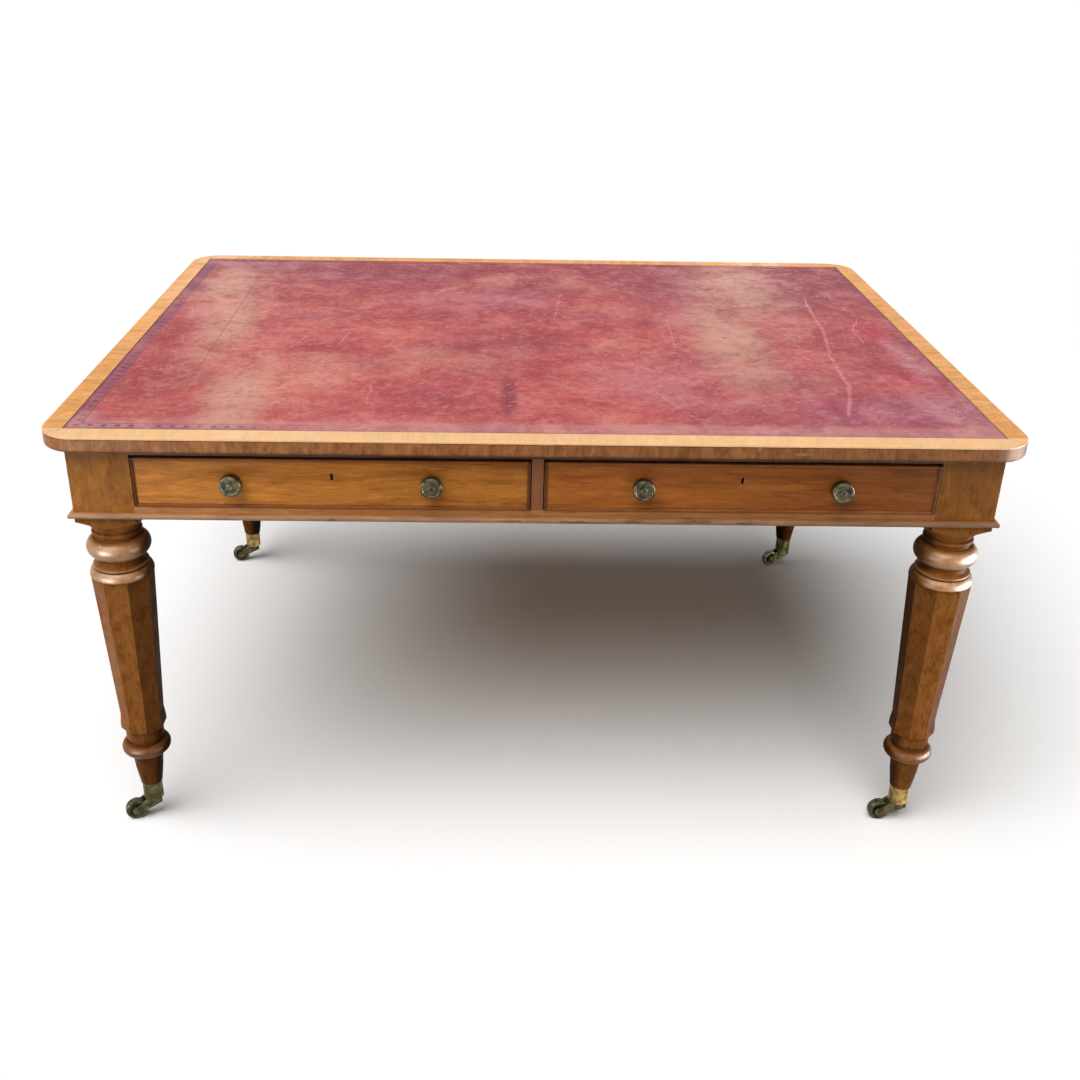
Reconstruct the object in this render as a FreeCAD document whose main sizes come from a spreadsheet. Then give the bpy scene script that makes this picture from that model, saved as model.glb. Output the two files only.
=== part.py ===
import FreeCAD, Part
import os
import re
import Sketcher

# Driving sizes of the writing table: name, value in millimetres or degrees, what it measures.
DRIVING = (
    ("top_width", 1524, "length of the top"),
    ("top_depth", 1143, "depth of the top, from one sitter to the other"),
    ("top_height", 762, "floor to writing surface"),
    ("top_thick", 26, "thickness of the top at its edge"),
    ("top_corner", 60, "plan radius of the top's corners"),
    ("arris", 3.5, "rounding of the top's edges"),
    ("crossband_width", 36, "width of the crossbanded border"),
    ("crossband_thick", 4, "thickness of the border strips"),
    ("leather_thick", 1.2, "thickness of the leather"),
    ("leather_sink", 0.3, "leather below the border"),
    ("leather_gap", 0.2, "leather to border, all round"),
    ("side_overhang", 39, "top beyond the frieze at the ends"),
    ("front_overhang", 22, "top beyond the frieze at front and back"),
    ("frieze_height", 118, "height of the frieze under the top"),
    ("post_width", 96, "square of the corner posts"),
    ("apron_thick", 22, "thickness of the end aprons"),
    ("top_rail_thick", 11, "thickness of the rail over the drawers"),
    ("bottom_rail_thick", 20, "thickness of the rail under the drawers"),
    ("rail_depth", 70, "depth of both drawer rails"),
    ("muntin_width", 18, "width of the upright between two drawers"),
    ("muntin_depth", 60, "depth of that upright"),
    ("tenon_length", 26, "reach of a tenon into a post"),
    ("tenon_thick", 10, "thickness of the apron tenons"),
    ("tenon_shoulder", 12, "shoulder of the wide tenons"),
    ("rail_shoulder", 4, "upper and lower shoulder of the bottom rail's tenons"),
    ("stub_length", 6, "reach of the muntin's stub tenons"),
    ("glue_gap", 0.1, "room around a tenon, spigot or screw"),
    ("beam_thick", 24, "thickness of the beam along the middle"),
    ("beam_lift", 6, "beam above the bottom of the frieze"),
    ("runner_width", 50, "width of a drawer runner"),
    ("middle_runner_width", 90, "width of the runner under two drawers"),
    ("guide_thick", 18, "thickness of an outer drawer guide"),
    ("guide_height", 30, "guide above the runner"),
    ("stop_width", 30, "width of a drawer stop"),
    ("stop_depth", 12, "depth of a drawer stop"),
    ("stop_height", 5, "height of a drawer stop"),
    ("stop_spread", 200, "drawer stop from the drawer's middle"),
    ("stop_gap", 0.2, "drawer front to its stop"),
    ("block_side", 20, "section of a glue block"),
    ("block_length", 70, "length of a glue block"),
    ("block_spread", 300, "glue block from the table's middle"),
    ("bead_height", 9, "height of the bead round the frieze"),
    ("bead_depth", 8, "projection of that bead"),
    ("bead_round", 4, "rounding of that bead"),
    ("screw_radius", 2.5, "shank of the top screws"),
    ("screw_reach", 14, "top screws into the top"),
    ("screw_head", 4.5, "head radius of the top screws"),
    ("screw_head_high", 3.5, "head height of the top screws"),
    ("screw_set_back", 45, "top screws behind the frieze face"),
    ("screw_inner", 200, "inner top screws from the middle"),
    ("screw_outer", 520, "outer top screws from the middle"),
    ("side_gap", 1.5, "drawer to opening, each side"),
    ("top_gap", 3.5, "drawer to the rail over it"),
    ("ride", 0.3, "drawer over its runners"),
    ("drawer_room", 37.5, "drawer back to the middle beam"),
    ("front_thick", 22, "thickness of a drawer front"),
    ("front_lap", 12, "drawer face to the end of its sides"),
    ("side_thick", 10, "thickness of a drawer side"),
    ("side_height", 74, "height of a drawer side"),
    ("back_thick", 9, "thickness of a drawer back"),
    ("back_drop", 4, "drawer back below its sides"),
    ("bottom_thick", 6, "thickness of a drawer bottom"),
    ("bottom_lift", 8, "drawer bottom above the sides' lower edge"),
    ("groove", 4, "depth of the groove for the drawer bottom"),
    ("cock_width", 5, "cockbead seen from the front"),
    ("cock_depth", 8, "cockbead let into the drawer front"),
    ("cock_proud", 2.5, "cockbead beyond the drawer face"),
    ("cock_round", 2.2, "rounding of the cockbead's nose"),
    ("knob_spread", 154, "knob from the drawer's middle"),
    ("knob_rise", 2, "knob above the middle of the drawer face"),
    ("knob_radius", 17, "radius of a knob's head"),
    ("knob_projection", 22, "knob beyond the drawer face"),
    ("knob_head", 18, "thickness of a knob's head"),
    ("knob_round", 3, "rounding of that head's edges"),
    ("knob_boss", 4.5, "radius of the button on a knob"),
    ("knob_rim", 13, "inner radius of a knob's rim"),
    ("knob_dish", 2, "depth of a knob's dished face"),
    ("knob_neck", 6.5, "radius of a knob's neck"),
    ("knob_rose", 13, "radius of the plate under a knob"),
    ("knob_rose_thick", 3, "thickness of that plate"),
    ("knob_shank", 4, "radius of a knob's shank"),
    ("knob_reach", 16, "shank into the drawer front"),
    ("key_lift", 57, "keyhole above the drawer's lower edge"),
    ("key_radius", 3, "round part of the keyhole"),
    ("key_slot", 4.6, "width of the keyhole's slot"),
    ("key_drop", 8.5, "slot below the round part"),
    ("lock_width", 70, "width of a lock"),
    ("lock_height", 40, "height of a lock"),
    ("bolt_width", 22, "width of a lock's bolt"),
    ("bolt_thick", 4, "thickness of a lock's bolt"),
    ("bolt_length", 28, "length of a lock's bolt"),
    ("bolt_gap", 0.3, "room around a bolt"),
    ("bolt_throw", 8, "travel of a bolt"),
    ("strike_room", 1, "room around a bolt in the rail"),
    ("plinth_height", 8, "height of the leg's plinth"),
    ("spigot_radius", 19, "leg spigot in the corner post"),
    ("spigot_height", 50, "reach of that spigot"),
    ("bell_step", 2, "hollow taper beyond the plinth's corners, before it is squared"),
    ("bell_height", 28, "height of the hollow taper under the plinth"),
    ("groove_radius", 36.5, "leg radius at the grooves of its head"),
    ("groove_height", 5, "height of those grooves"),
    ("astragal_radius", 40, "leg radius at the astragal"),
    ("astragal_height", 9, "height of the astragal"),
    ("torus_radius", 51, "leg radius at the large torus"),
    ("torus_root", 38, "leg radius where the torus starts"),
    ("torus_height", 34, "height of the large torus"),
    ("fillet_radius", 44.5, "leg radius at the flared ring over the shoulder"),
    ("fillet_height", 12, "height of that ring"),
    ("fillet_edge", 2.5, "height of that ring's upright edge"),
    ("quirk_radius", 41.5, "leg radius in the groove over the shoulder"),
    ("quirk_height", 2.5, "height of that groove"),
    ("shoulder_radius", 51, "leg radius at the shoulder"),
    ("shoulder_height", 12, "height of the rounded shoulder"),
    ("collar_height", 2, "round collar under the shoulder"),
    ("shaft_top", 50.5, "corner radius of the eight-sided shaft, top"),
    ("shaft_low", 36.5, "corner radius of the eight-sided shaft, foot"),
    ("shaft_core", 30, "round core of the shaft"),
    ("lip_radius", 38.5, "corner radius of the shaft's lip"),
    ("lip_height", 18, "height of the flare to the lip"),
    ("lip_edge", 10, "height of the lip's edge"),
    ("neck_radius", 32, "leg radius under the shaft"),
    ("neck_height", 22, "height of that neck"),
    ("neck_groove", 29, "leg radius at the groove over the ankle ring"),
    ("neck_groove_height", 9, "height of that groove"),
    ("ring_radius", 41.5, "leg radius at the ankle ring"),
    ("ring_root", 32, "leg radius where the ring starts"),
    ("ring_height", 23, "height of the ankle ring"),
    ("flare_radius", 30, "leg radius under the ankle ring"),
    ("flare_height", 32, "height of the hollow under the ring"),
    ("ankle_radius", 23.8, "leg radius under that hollow"),
    ("foot_radius", 18.6, "leg radius over the castor cup"),
    ("foot_height", 36, "height of the tapered foot"),
    ("cup_radius", 17.2, "outer radius of a castor cup at its mouth"),
    ("cup_low", 15.6, "outer radius of a castor cup at its floor"),
    ("cup_wall", 1.8, "wall of a castor cup at its mouth"),
    ("cup_floor", 4, "floor of a castor cup"),
    ("cup_height", 35, "height of a castor cup"),
    ("pin_radius", 5, "swivel pin"),
    ("pin_head", 7, "riveted head of the swivel pin"),
    ("pin_head_high", 2.6, "height of that head"),
    ("pin_gap", 0.05, "swivel pin or axle in its bore, radially"),
    ("swivel_gap", 0.3, "horn to cup and to pin head"),
    ("boss_radius", 13, "boss of a castor horn"),
    ("boss_height", 9.7, "height of that boss"),
    ("trail", 32, "swivel axis to wheel axle"),
    ("wheel_radius", 19.5, "radius of a castor wheel"),
    ("wheel_width", 14, "width of a castor wheel"),
    ("wheel_round", 3, "rounding of the tread"),
    ("wheel_rim", 3.5, "depth of the rim"),
    ("wheel_web", 7, "thickness of the wheel inside its rim"),
    ("wheel_hub", 6, "radius of the wheel's hub"),
    ("wheel_gap", 0.6, "wheel to each cheek"),
    ("cheek_thick", 4, "thickness of a cheek"),
    ("cheek_nose", 8, "radius of a cheek's nose"),
    ("axle_radius", 3, "wheel axle"),
    ("axle_proud", 1.2, "axle beyond each cheek"),
    ("swivel_height", 41, "floor to the castor cup"),
    ("heading_front_left", 20, "turn of that castor about its pin"),
    ("heading_front_right", 0, "turn of that castor about its pin"),
    ("heading_back_left", 14, "turn of that castor about its pin"),
    ("heading_back_right", 14, "turn of that castor about its pin"),
    ("overrun", 2, "cuts beyond the face that they leave"),
)

# Sizes and places that follow from the driving ones.
DERIVED = (
    ("half_x", "top_width / 2"),
    ("half_y", "top_depth / 2"),
    ("frame_x", "half_x - side_overhang"),
    ("frame_y", "half_y - front_overhang"),
    ("inner_x", "frame_x - post_width"),
    ("inner_y", "frame_y - post_width"),
    ("leg_x", "frame_x - post_width / 2"),
    ("leg_y", "frame_y - post_width / 2"),
    ("apron_x", "frame_x - apron_thick"),
    ("rail_back", "frame_y - rail_depth"),
    ("drawer_length", "frame_y - beam_thick / 2 - drawer_room"),
    ("top_under", "top_height - top_thick"),
    ("band_low", "top_height - crossband_thick"),
    ("bed_high", "top_height - leather_sink - leather_thick"),
    ("frieze_low", "top_under - frieze_height"),
    ("open_high", "top_under - top_rail_thick"),
    ("open_low", "frieze_low + bottom_rail_thick"),
    ("open_width", "inner_x - muntin_width / 2"),
    ("drawer_x", "muntin_width / 2 + open_width / 2"),
    ("drawer_half", "open_width / 2 - side_gap"),
    ("drawer_high", "open_high - open_low - top_gap"),
    ("inside_half", "drawer_half - side_thick"),
    ("panel_low", "ride + bottom_lift"),
    ("panel_high", "panel_low + bottom_thick"),
    ("knob_lift", "(ride + drawer_high) / 2 + knob_rise"),
    ("bolt_mid", "(front_lap + front_thick) / 2"),
    ("bolt_high", "drawer_high - bolt_gap"),
    ("bolt_low", "bolt_high - bolt_length"),
    ("plinth_low", "frieze_low - plinth_height"),
    ("plinth_half", "post_width / 2"),
    ("bell_top", "plinth_half * sqrt(2) + bell_step"),
    ("bell_low", "plinth_low - bell_height"),
    ("astragal_low", "bell_low - astragal_height"),
    ("torus_high", "astragal_low - groove_height"),
    ("torus_low", "torus_high - torus_height"),
    ("fillet_high", "torus_low - groove_height"),
    ("fillet_low", "fillet_high - fillet_height"),
    ("fillet_brim", "fillet_low + fillet_edge"),
    ("shoulder_high", "fillet_low - quirk_height"),
    ("shoulder_low", "shoulder_high - shoulder_height"),
    ("shaft_high", "shoulder_low - collar_height"),
    ("cup_high", "swivel_height + cup_height"),
    ("foot_high", "cup_high + foot_height"),
    ("ring_low", "foot_high + flare_height"),
    ("ring_high", "ring_low + ring_height"),
    ("neck_low", "ring_high + neck_groove_height"),
    ("lip_low", "neck_low + neck_height"),
    ("lip_high", "lip_low + lip_edge"),
    ("flute_low", "lip_high + lip_height"),
    ("cup_bore", "cup_radius - cup_wall"),
    ("bore_low", "swivel_height + cup_floor"),
    ("boss_high", "swivel_height - swivel_gap"),
    ("boss_low", "boss_high - boss_height"),
    ("head_high", "boss_low - swivel_gap"),
    ("slot_half", "wheel_width / 2 + wheel_gap"),
    ("horn_half", "slot_half + cheek_thick"),
)

ALIASES = {entry[0] for entry in DRIVING + DERIVED}
SIDES = {"left": -1, "right": 1}
ENDS = {"front": -1, "back": 1}
OCTAGON_FIRST_SHARE = 0.5
OCTAGON_SIDES = 8

document = FreeCAD.newDocument("writing_table")
sheet = document.addObject("Spreadsheet::Sheet", "sizes")
gauge = document.addObject("App::FeaturePython", "gauge")
gauge.addProperty("App::PropertyFloat", "reading")
nodes = []


def fill_sheet():
    """Write every size to the sheet, the driving ones as numbers and the rest as formulas."""
    cells = [(alias, str(value), note) for alias, value, note in DRIVING]
    cells += [(alias, "=" + formula, "worked out") for alias, formula in DERIVED]
    for row, (alias, content, note) in enumerate(cells, start=1):
        sheet.set(f"A{row}", note)
        sheet.set(f"B{row}", content)
        sheet.setAlias(f"B{row}", alias)
    document.recompute()


def linked(text):
    """The same formula, with every size read from the sheet."""
    return re.sub(r"[a-z_]+", lambda word: f"sizes.{word[0]}" if word[0] in ALIASES else word[0], text)


def number(text):
    """The present value of a formula, read from a bound gauge."""
    bind(gauge, "reading", text)
    gauge.recompute()
    return gauge.reading


def bind(item, target, text):
    item.setExpression(target, linked(text))


def mirrored(sign, low, high):
    """A span on the positive side of the table, or the same span on the negative side."""
    return (low, high) if sign > 0 else (f"-({high})", f"-({low})")


def centred(half):
    return (f"-({half})", half)


def place(item, x="0", y="0", z="0", turn=0, tip=0):
    """Turn an item about X by tip and about Z by turn, and bind its place to the sheet."""
    about_z = FreeCAD.Rotation(FreeCAD.Vector(0, 0, 1), turn)
    about_x = FreeCAD.Rotation(FreeCAD.Vector(1, 0, 0), tip)
    item.Placement = FreeCAD.Placement(FreeCAD.Vector(), about_z.multiply(about_x))
    for axis, text in zip("xyz", (x, y, z)):
        bind(item, f"Placement.Base.{axis}", text)
    return item


def box(name, x, y, z):
    """A block between two bounds on each axis."""
    item = document.addObject("Part::Box", name)
    for size, axis, (low, high) in zip(("Length", "Width", "Height"), "xyz", (x, y, z)):
        bind(item, size, f"({high}) - ({low})")
        bind(item, f"Placement.Base.{axis}", low)
    return item


def rod(name, radius, x, y, z, along="z"):
    """A cylinder along Z or Y; the place on its own axis is a span."""
    item = document.addObject("Part::Cylinder", name)
    bind(item, "Radius", radius)
    low, high = z if along == "z" else y
    bind(item, "Height", f"({high}) - ({low})")
    if along == "z":
        return place(item, x, y, low)
    return place(item, x, low, z, tip=-90)


def fuse(name, *items):
    item = document.addObject("Part::MultiFuse", name)
    item.Shapes = list(items)
    item.Refine = True
    return item


def cut(name, base, *tools):
    item = document.addObject("Part::Cut", name)
    item.Base = base
    item.Tool = tools[0] if len(tools) == 1 else fuse(name + "_tools", *tools)
    item.Refine = True
    return item


def group(name, items):
    item = document.addObject("Part::Compound", name)
    item.Links = list(items)
    return item


def node(item):
    """Keep an item as one sub-part of the table."""
    nodes.append(item)
    return item


def arc(start, end, centre_x, outward):
    """The arc between two points about a centre at that x, bulging away from the axis or towards it."""
    near = (centre_x - end.x) ** 2 - (centre_x - start.x) ** 2 + end.y ** 2 - start.y ** 2
    centre = FreeCAD.Vector(centre_x, near / (2 * (end.y - start.y)), 0)
    chord = end - start
    normal = FreeCAD.Vector(chord.y, -chord.x, 0).normalize()
    if (normal.x > 0) != outward:
        normal = normal * -1
    return Part.Arc(start, centre + normal * (start - centre).Length, end)


def tip_of(sketch, edge, corner):
    """Which end of a sketched edge lies at a corner."""
    first = sketch.getPoint(edge, 1).distanceToPoint(corner)
    return 1 if first < sketch.getPoint(edge, 2).distanceToPoint(corner) else 2


def pin_down(sketch, kind, axis, edge, point, text):
    """Hold one coordinate of a sketched point to a size."""
    if text == "0":
        sketch.addConstraint(Sketcher.Constraint("PointOnObject", edge, point, axis))
        return
    held = sketch.addConstraint(Sketcher.Constraint(kind, -1, 1, edge, point, number(text)))
    bind(sketch, f"Constraints[{held}]", text)


def draw(sketch, loop):
    """Close a loop; a point with four values ends an arc about the third, in or out by the fourth."""
    corners = [FreeCAD.Vector(number(point[0]), number(point[1]), 0) for point in loop]
    edges = []
    for index, point in enumerate(loop):
        ends = corners[index - 1], corners[index]
        curve = arc(*ends, number(point[2]), point[3]) if len(point) == 4 else Part.LineSegment(*ends)
        edges.append(sketch.addGeometry(curve))
    for index, (edge, point) in enumerate(zip(edges, loop)):
        corner, follower = corners[index], edges[(index + 1) % len(edges)]
        end, start = tip_of(sketch, edge, corner), tip_of(sketch, follower, corner)
        sketch.addConstraint(Sketcher.Constraint("Coincident", edge, end, follower, start))
        pin_down(sketch, "DistanceX", -2, edge, end, point[0])
        pin_down(sketch, "DistanceY", -1, edge, end, point[1])
        if len(point) == 4:
            pin_down(sketch, "DistanceX", -2, edge, 3, point[2])


def sketched(body, name, role, loops, height="0"):
    """A sketch on one of the body's own planes, raised by a height along its normal."""
    sketch = body.newObject("Sketcher::SketchObject", name)
    plane = next(feature for feature in body.Origin.OriginFeatures if feature.Role == role)
    sketch.AttachmentSupport = [(plane, "")]
    sketch.MapMode = "FlatFace"
    bind(sketch, "AttachmentOffset.Base.z", height)
    for loop in loops:
        draw(sketch, loop)
    return sketch


def feature(body, kind, name, sketch):
    item = body.newObject(f"PartDesign::{kind}", name)
    item.Profile = sketch
    body.Tip = item
    return item


def turned(name, role, loop):
    """A body turned from a half profile: x is the radius, y runs along the axis."""
    body = document.addObject("PartDesign::Body", name)
    sketch = sketched(body, name + "_profile", role, [loop])
    spin = feature(body, "Revolution", name + "_turning", sketch)
    spin.ReferenceAxis = (sketch, ["V_Axis"])
    return body


def rectangle(half_x, half_y):
    low_x, low_y = f"-({half_x})", f"-({half_y})"
    return [(low_x, low_y), (half_x, low_y), (half_x, half_y), (low_x, half_y)]


def slab(name, loops, low, thick):
    """A flat body padded up from a height."""
    body = document.addObject("PartDesign::Body", name)
    pad = feature(body, "Pad", name + "_pad", sketched(body, name + "_plan", "XY_Plane", loops, low))
    bind(pad, "Length", thick)
    return body


def rounded(body, name, radius, chosen):
    """Round the chosen edges of a body as it stands."""
    document.recompute()
    base = body.Tip
    edges = [f"Edge{count}" for count, edge in enumerate(base.Shape.Edges, 1) if chosen(edge, base.Shape)]
    item = body.newObject("PartDesign::Fillet", name)
    item.Base = (base, edges)
    bind(item, "Radius", radius)
    body.Tip = item
    return body


def upright(edge, shape):
    return edge.BoundBox.ZLength > shape.BoundBox.ZLength / 2


def upper(edge, shape):
    return edge.BoundBox.ZMin > shape.BoundBox.Center.z


def lower(edge, shape):
    return edge.BoundBox.ZMax < shape.BoundBox.Center.z


def level(edge, shape):
    return upper(edge, shape) or lower(edge, shape)


def mitred(name, blank, half_x, half_y, band, z):
    """Four strips cut from a blank and mitred at its corners."""
    strips = []
    for side, turn in enumerate((0, 90, 180, 270)):
        long_half, short_half = (half_x, half_y) if side % 2 == 0 else (half_y, half_x)
        wedge = document.addObject("Part::Wedge", f"{name}_mitre_{side}")
        bind(wedge, "Ymin", f"-({short_half})")
        bind(wedge, "Ymax", f"{band} - ({short_half})")
        for sign, bound in (("-", "min"), ("", "max")):
            bind(wedge, f"X{bound}", f"{sign}({long_half})")
            bind(wedge, f"X2{bound}", f"{sign}({long_half} - {band})")
        for bound, text in zip(("min", "max"), z):
            bind(wedge, f"Z{bound}", text)
            bind(wedge, f"Z2{bound}", text)
        place(wedge, turn=turn)
        strip = document.addObject("Part::Common", f"{name}_strip_{side}")
        strip.Base = blank
        strip.Tool = wedge
        strips.append(strip)
    return group(name, strips)


def bulge(apex, root, low, high):
    """Centre of an even arc that swells from a root radius to an apex radius."""
    rise = f"({apex} - {root})"
    return f"{apex} - ((({high}) - ({low}))^2 / 4 + {rise}^2) / (2 * {rise})"


def hollow(wide, wide_at, narrow, narrow_at):
    """Centre of a hollow arc that ends upright at its narrow end."""
    step, run = f"({wide} - {narrow})", f"({wide_at} - ({narrow_at}))"
    return f"{narrow} + ({step}^2 + {run}^2) / (2 * {step})"


def top():
    """Board, mitred crossbanded border and inset leather."""
    plan = [rectangle("half_x", "half_y")]
    board = slab("board_blank", plan, "top_under", "band_low - top_under")
    rounded(board, "board_corners", "top_corner", upright)
    rounded(board, "board_arris", "arris", lower)
    inside = ("half_x - crossband_width", "half_y - crossband_width")
    bed = box("leather_bed", centred(inside[0]), centred(inside[1]), ("band_low", "bed_high"))
    holes = [rod(f"board_hole_{index}", "screw_radius + glue_gap", x, y,
                 ("top_under - overrun", "top_under + screw_reach + glue_gap"))
             for index, (x, y, _) in enumerate(screw_places())]
    node(cut("top_board", fuse("board_solid", board, bed), *holes))
    band = slab("border_blank", plan, "band_low", "crossband_thick")
    rounded(band, "border_corners", "top_corner", upright)
    rounded(band, "border_arris", "arris", upper)
    node(mitred("crossband_border", band, "half_x", "half_y", "crossband_width", ("band_low", "top_height")))
    node(box("leather_skiver", centred(inside[0] + " - leather_gap"), centred(inside[1] + " - leather_gap"),
             ("bed_high", "bed_high + leather_thick")))


def screw_places():
    """Places of the screws that hold the top, with the end of the table that each belongs to."""
    return [(f"{x_sign}{x}", f"{sign} * (frame_y - screw_set_back)", end)
            for end, sign in ENDS.items() for x in ("screw_inner", "screw_outer") for x_sign in ("-", "")]


def top_screws():
    screws = []
    for index, (x, y, _) in enumerate(screw_places()):
        head = rod(f"screw_head_{index}", "screw_head", x, y, ("open_high", "open_high + screw_head_high"))
        shank = rod(f"screw_shank_{index}", "screw_radius", x, y, ("open_high", "top_under + screw_reach"))
        screws.append(fuse(f"screw_{index}", head, shank))
    node(group("top_screws", screws))


def tenon_y(sign, room=""):
    """Front-to-back span of a rail's tenon, with room in its mortise."""
    less = room.replace("+", "-")
    return mirrored(sign, "rail_back + tenon_shoulder" + less, "frame_y - tenon_shoulder" + room)


def corner_posts():
    """Square posts, mortised for the rails and the apron and bored for the leg."""
    posts = []
    room = " + glue_gap"
    for end, back in ENDS.items():
        for side, right in SIDES.items():
            name = f"{end}_{side}_post"
            blank = box(name + "_blank", mirrored(right, "inner_x", "frame_x"),
                        mirrored(back, "inner_y", "frame_y"), ("frieze_low", "top_under"))
            into = mirrored(right, "inner_x - overrun", "inner_x + tenon_length" + room)
            rail = box(name + "_rail_mortise", into, tenon_y(back, room),
                       ("frieze_low + rail_shoulder - glue_gap", "open_low - rail_shoulder" + room))
            lap = box(name + "_lap", into, tenon_y(back, room), ("open_high", "top_under + overrun"))
            apron = box(name + "_apron_mortise",
                        mirrored(right, "apron_x + (apron_thick - tenon_thick) / 2 - glue_gap",
                                 "apron_x + (apron_thick + tenon_thick) / 2 + glue_gap"),
                        mirrored(back, "inner_y - overrun", "inner_y + tenon_length" + room),
                        ("frieze_low + tenon_shoulder - glue_gap", "top_under - tenon_shoulder" + room))
            bore = rod(name + "_bore", "spigot_radius" + room, f"{right} * leg_x", f"{back} * leg_y",
                       ("frieze_low - overrun", "frieze_low + spigot_height" + room))
            posts.append(cut(name, blank, rail, lap, apron, bore))
    node(group("corner_posts", posts))


def aprons():
    """End boards between the posts, with a tenon at each end."""
    for side, right in SIDES.items():
        board = box(f"{side}_apron_board", mirrored(right, "apron_x", "frame_x"), centred("inner_y"),
                    ("frieze_low", "top_under"))
        tenon = box(f"{side}_apron_tenon",
                    mirrored(right, "apron_x + (apron_thick - tenon_thick) / 2",
                             "apron_x + (apron_thick + tenon_thick) / 2"),
                    centred("inner_y + tenon_length"),
                    ("frieze_low + tenon_shoulder", "top_under - tenon_shoulder"))
        node(fuse(f"{side}_apron", board, tenon))


def stub(name, sign, low, high, room=""):
    """The muntin's stub tenon, or with room the mortise for it."""
    less = room.replace("+", "-")
    depth = mirrored(sign, "frame_y - muntin_depth + tenon_shoulder" + less,
                     "frame_y - tenon_shoulder" + room)
    return box(name, centred("muntin_width / 4" + room), depth, (low, high))


def rails():
    """Rails over and under the drawers, lapped and tenoned into the posts."""
    for end, sign in ENDS.items():
        depth = mirrored(sign, "rail_back", "frame_y")
        blank = box(f"{end}_top_rail_blank", centred("inner_x"), depth, ("open_high", "top_under"))
        lap = box(f"{end}_top_rail_lap", centred("inner_x + tenon_length"), tenon_y(sign),
                  ("open_high", "top_under"))
        holes = [stub(f"{end}_top_mortise", sign, "open_high - overrun", "open_high + stub_length + glue_gap",
                      " + glue_gap")]
        for side, right in SIDES.items():
            reach = "(bolt_thick / 2 + strike_room)"
            strike = box(f"{end}_{side}_strike",
                         (f"{right} * drawer_x - bolt_width / 2 - strike_room",
                          f"{right} * drawer_x + bolt_width / 2 + strike_room"),
                         mirrored(sign, f"frame_y - bolt_mid - {reach}", f"frame_y - bolt_mid + {reach}"),
                         ("open_high - overrun", "open_low + bolt_high + bolt_throw + strike_room"))
            holes.append(strike)
        for index, (x, y, screw_end) in enumerate(screw_places()):
            if screw_end == end:
                holes.append(rod(f"rail_sink_{index}", "screw_head + glue_gap", x, y,
                                 ("open_high - overrun", "open_high + screw_head_high")))
                holes.append(rod(f"rail_hole_{index}", "screw_radius + glue_gap", x, y,
                                 ("open_high - overrun", "top_under + overrun")))
        node(cut(f"{end}_top_rail", fuse(f"{end}_top_rail_solid", blank, lap), *holes))
        blank = box(f"{end}_bottom_rail_blank", centred("inner_x"), depth, ("frieze_low", "open_low"))
        tenon = box(f"{end}_bottom_rail_tenon", centred("inner_x + tenon_length"), tenon_y(sign),
                    ("frieze_low + rail_shoulder", "open_low - rail_shoulder"))
        hole = stub(f"{end}_bottom_mortise", sign, "open_low - stub_length - glue_gap", "open_low + overrun",
                    " + glue_gap")
        node(cut(f"{end}_bottom_rail", fuse(f"{end}_bottom_rail_solid", blank, tenon), hole))


def muntins():
    """Uprights between the drawers, with a stub tenon up and down."""
    uprights = []
    for end, sign in ENDS.items():
        post = box(f"{end}_muntin_post", centred("muntin_width / 2"),
                   mirrored(sign, "frame_y - muntin_depth", "frame_y"), ("open_low", "open_high"))
        tenon = stub(f"{end}_muntin_stub", sign, "open_low - stub_length", "open_high + stub_length")
        uprights.append(fuse(f"{end}_muntin", post, tenon))
    node(group("muntins", uprights))


def drawer_frame():
    """Middle beam with the runners, guides, kickers and stops of the drawers, and the glue blocks."""
    node(box("centre_beam", centred("apron_x"), centred("beam_thick / 2"),
             ("frieze_low + beam_lift", "top_under")))
    pieces = {"drawer_runners": [], "drawer_guides": [], "drawer_kickers": [], "drawer_stops": []}
    outer = {side: mirrored(right, "inner_x - runner_width", "inner_x") for side, right in SIDES.items()}
    widths = dict(outer, middle=centred("middle_runner_width / 2"))
    for end, sign in ENDS.items():
        length = mirrored(sign, "beam_thick / 2", "rail_back")
        for side, width in widths.items():
            name = f"{end}_{side}"
            pieces["drawer_runners"].append(box(name + "_runner", width, length, ("frieze_low", "open_low")))
            pieces["drawer_kickers"].append(box(name + "_kicker", width, length, ("open_high", "top_under")))
        for side, right in SIDES.items():
            pieces["drawer_guides"].append(
                box(f"{end}_{side}_guide", mirrored(right, "inner_x", "inner_x + guide_thick"),
                    mirrored(sign, "beam_thick / 2", "inner_y"), ("frieze_low", "open_low + guide_height")))
            for inward in (-1, 1):
                middle = f"{right} * drawer_x + {inward} * stop_spread"
                pieces["drawer_stops"].append(
                    box(f"{end}_{side}_stop_{inward + 1}",
                        (f"{middle} - stop_width / 2", f"{middle} + stop_width / 2"),
                        mirrored(sign, "frame_y - front_thick - stop_gap - stop_depth",
                                 "frame_y - front_thick - stop_gap"),
                        ("open_low", "open_low + stop_height")))
        pieces["drawer_guides"].append(
            box(f"{end}_middle_guide", centred("muntin_width / 2"),
                mirrored(sign, "beam_thick / 2", "frame_y - muntin_depth"),
                ("open_low", "open_low + guide_height")))
    for name, solids in pieces.items():
        node(group(name, solids))
    blocks = [box(f"{side}_block_{spread + 1}", mirrored(right, "apron_x - block_side", "apron_x"),
                  (f"{spread} * block_spread - block_length / 2",
                   f"{spread} * block_spread + block_length / 2"),
                  ("top_under - block_side", "top_under"))
              for side, right in SIDES.items() for spread in (-1, 1)]
    node(group("glue_blocks", blocks))


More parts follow.
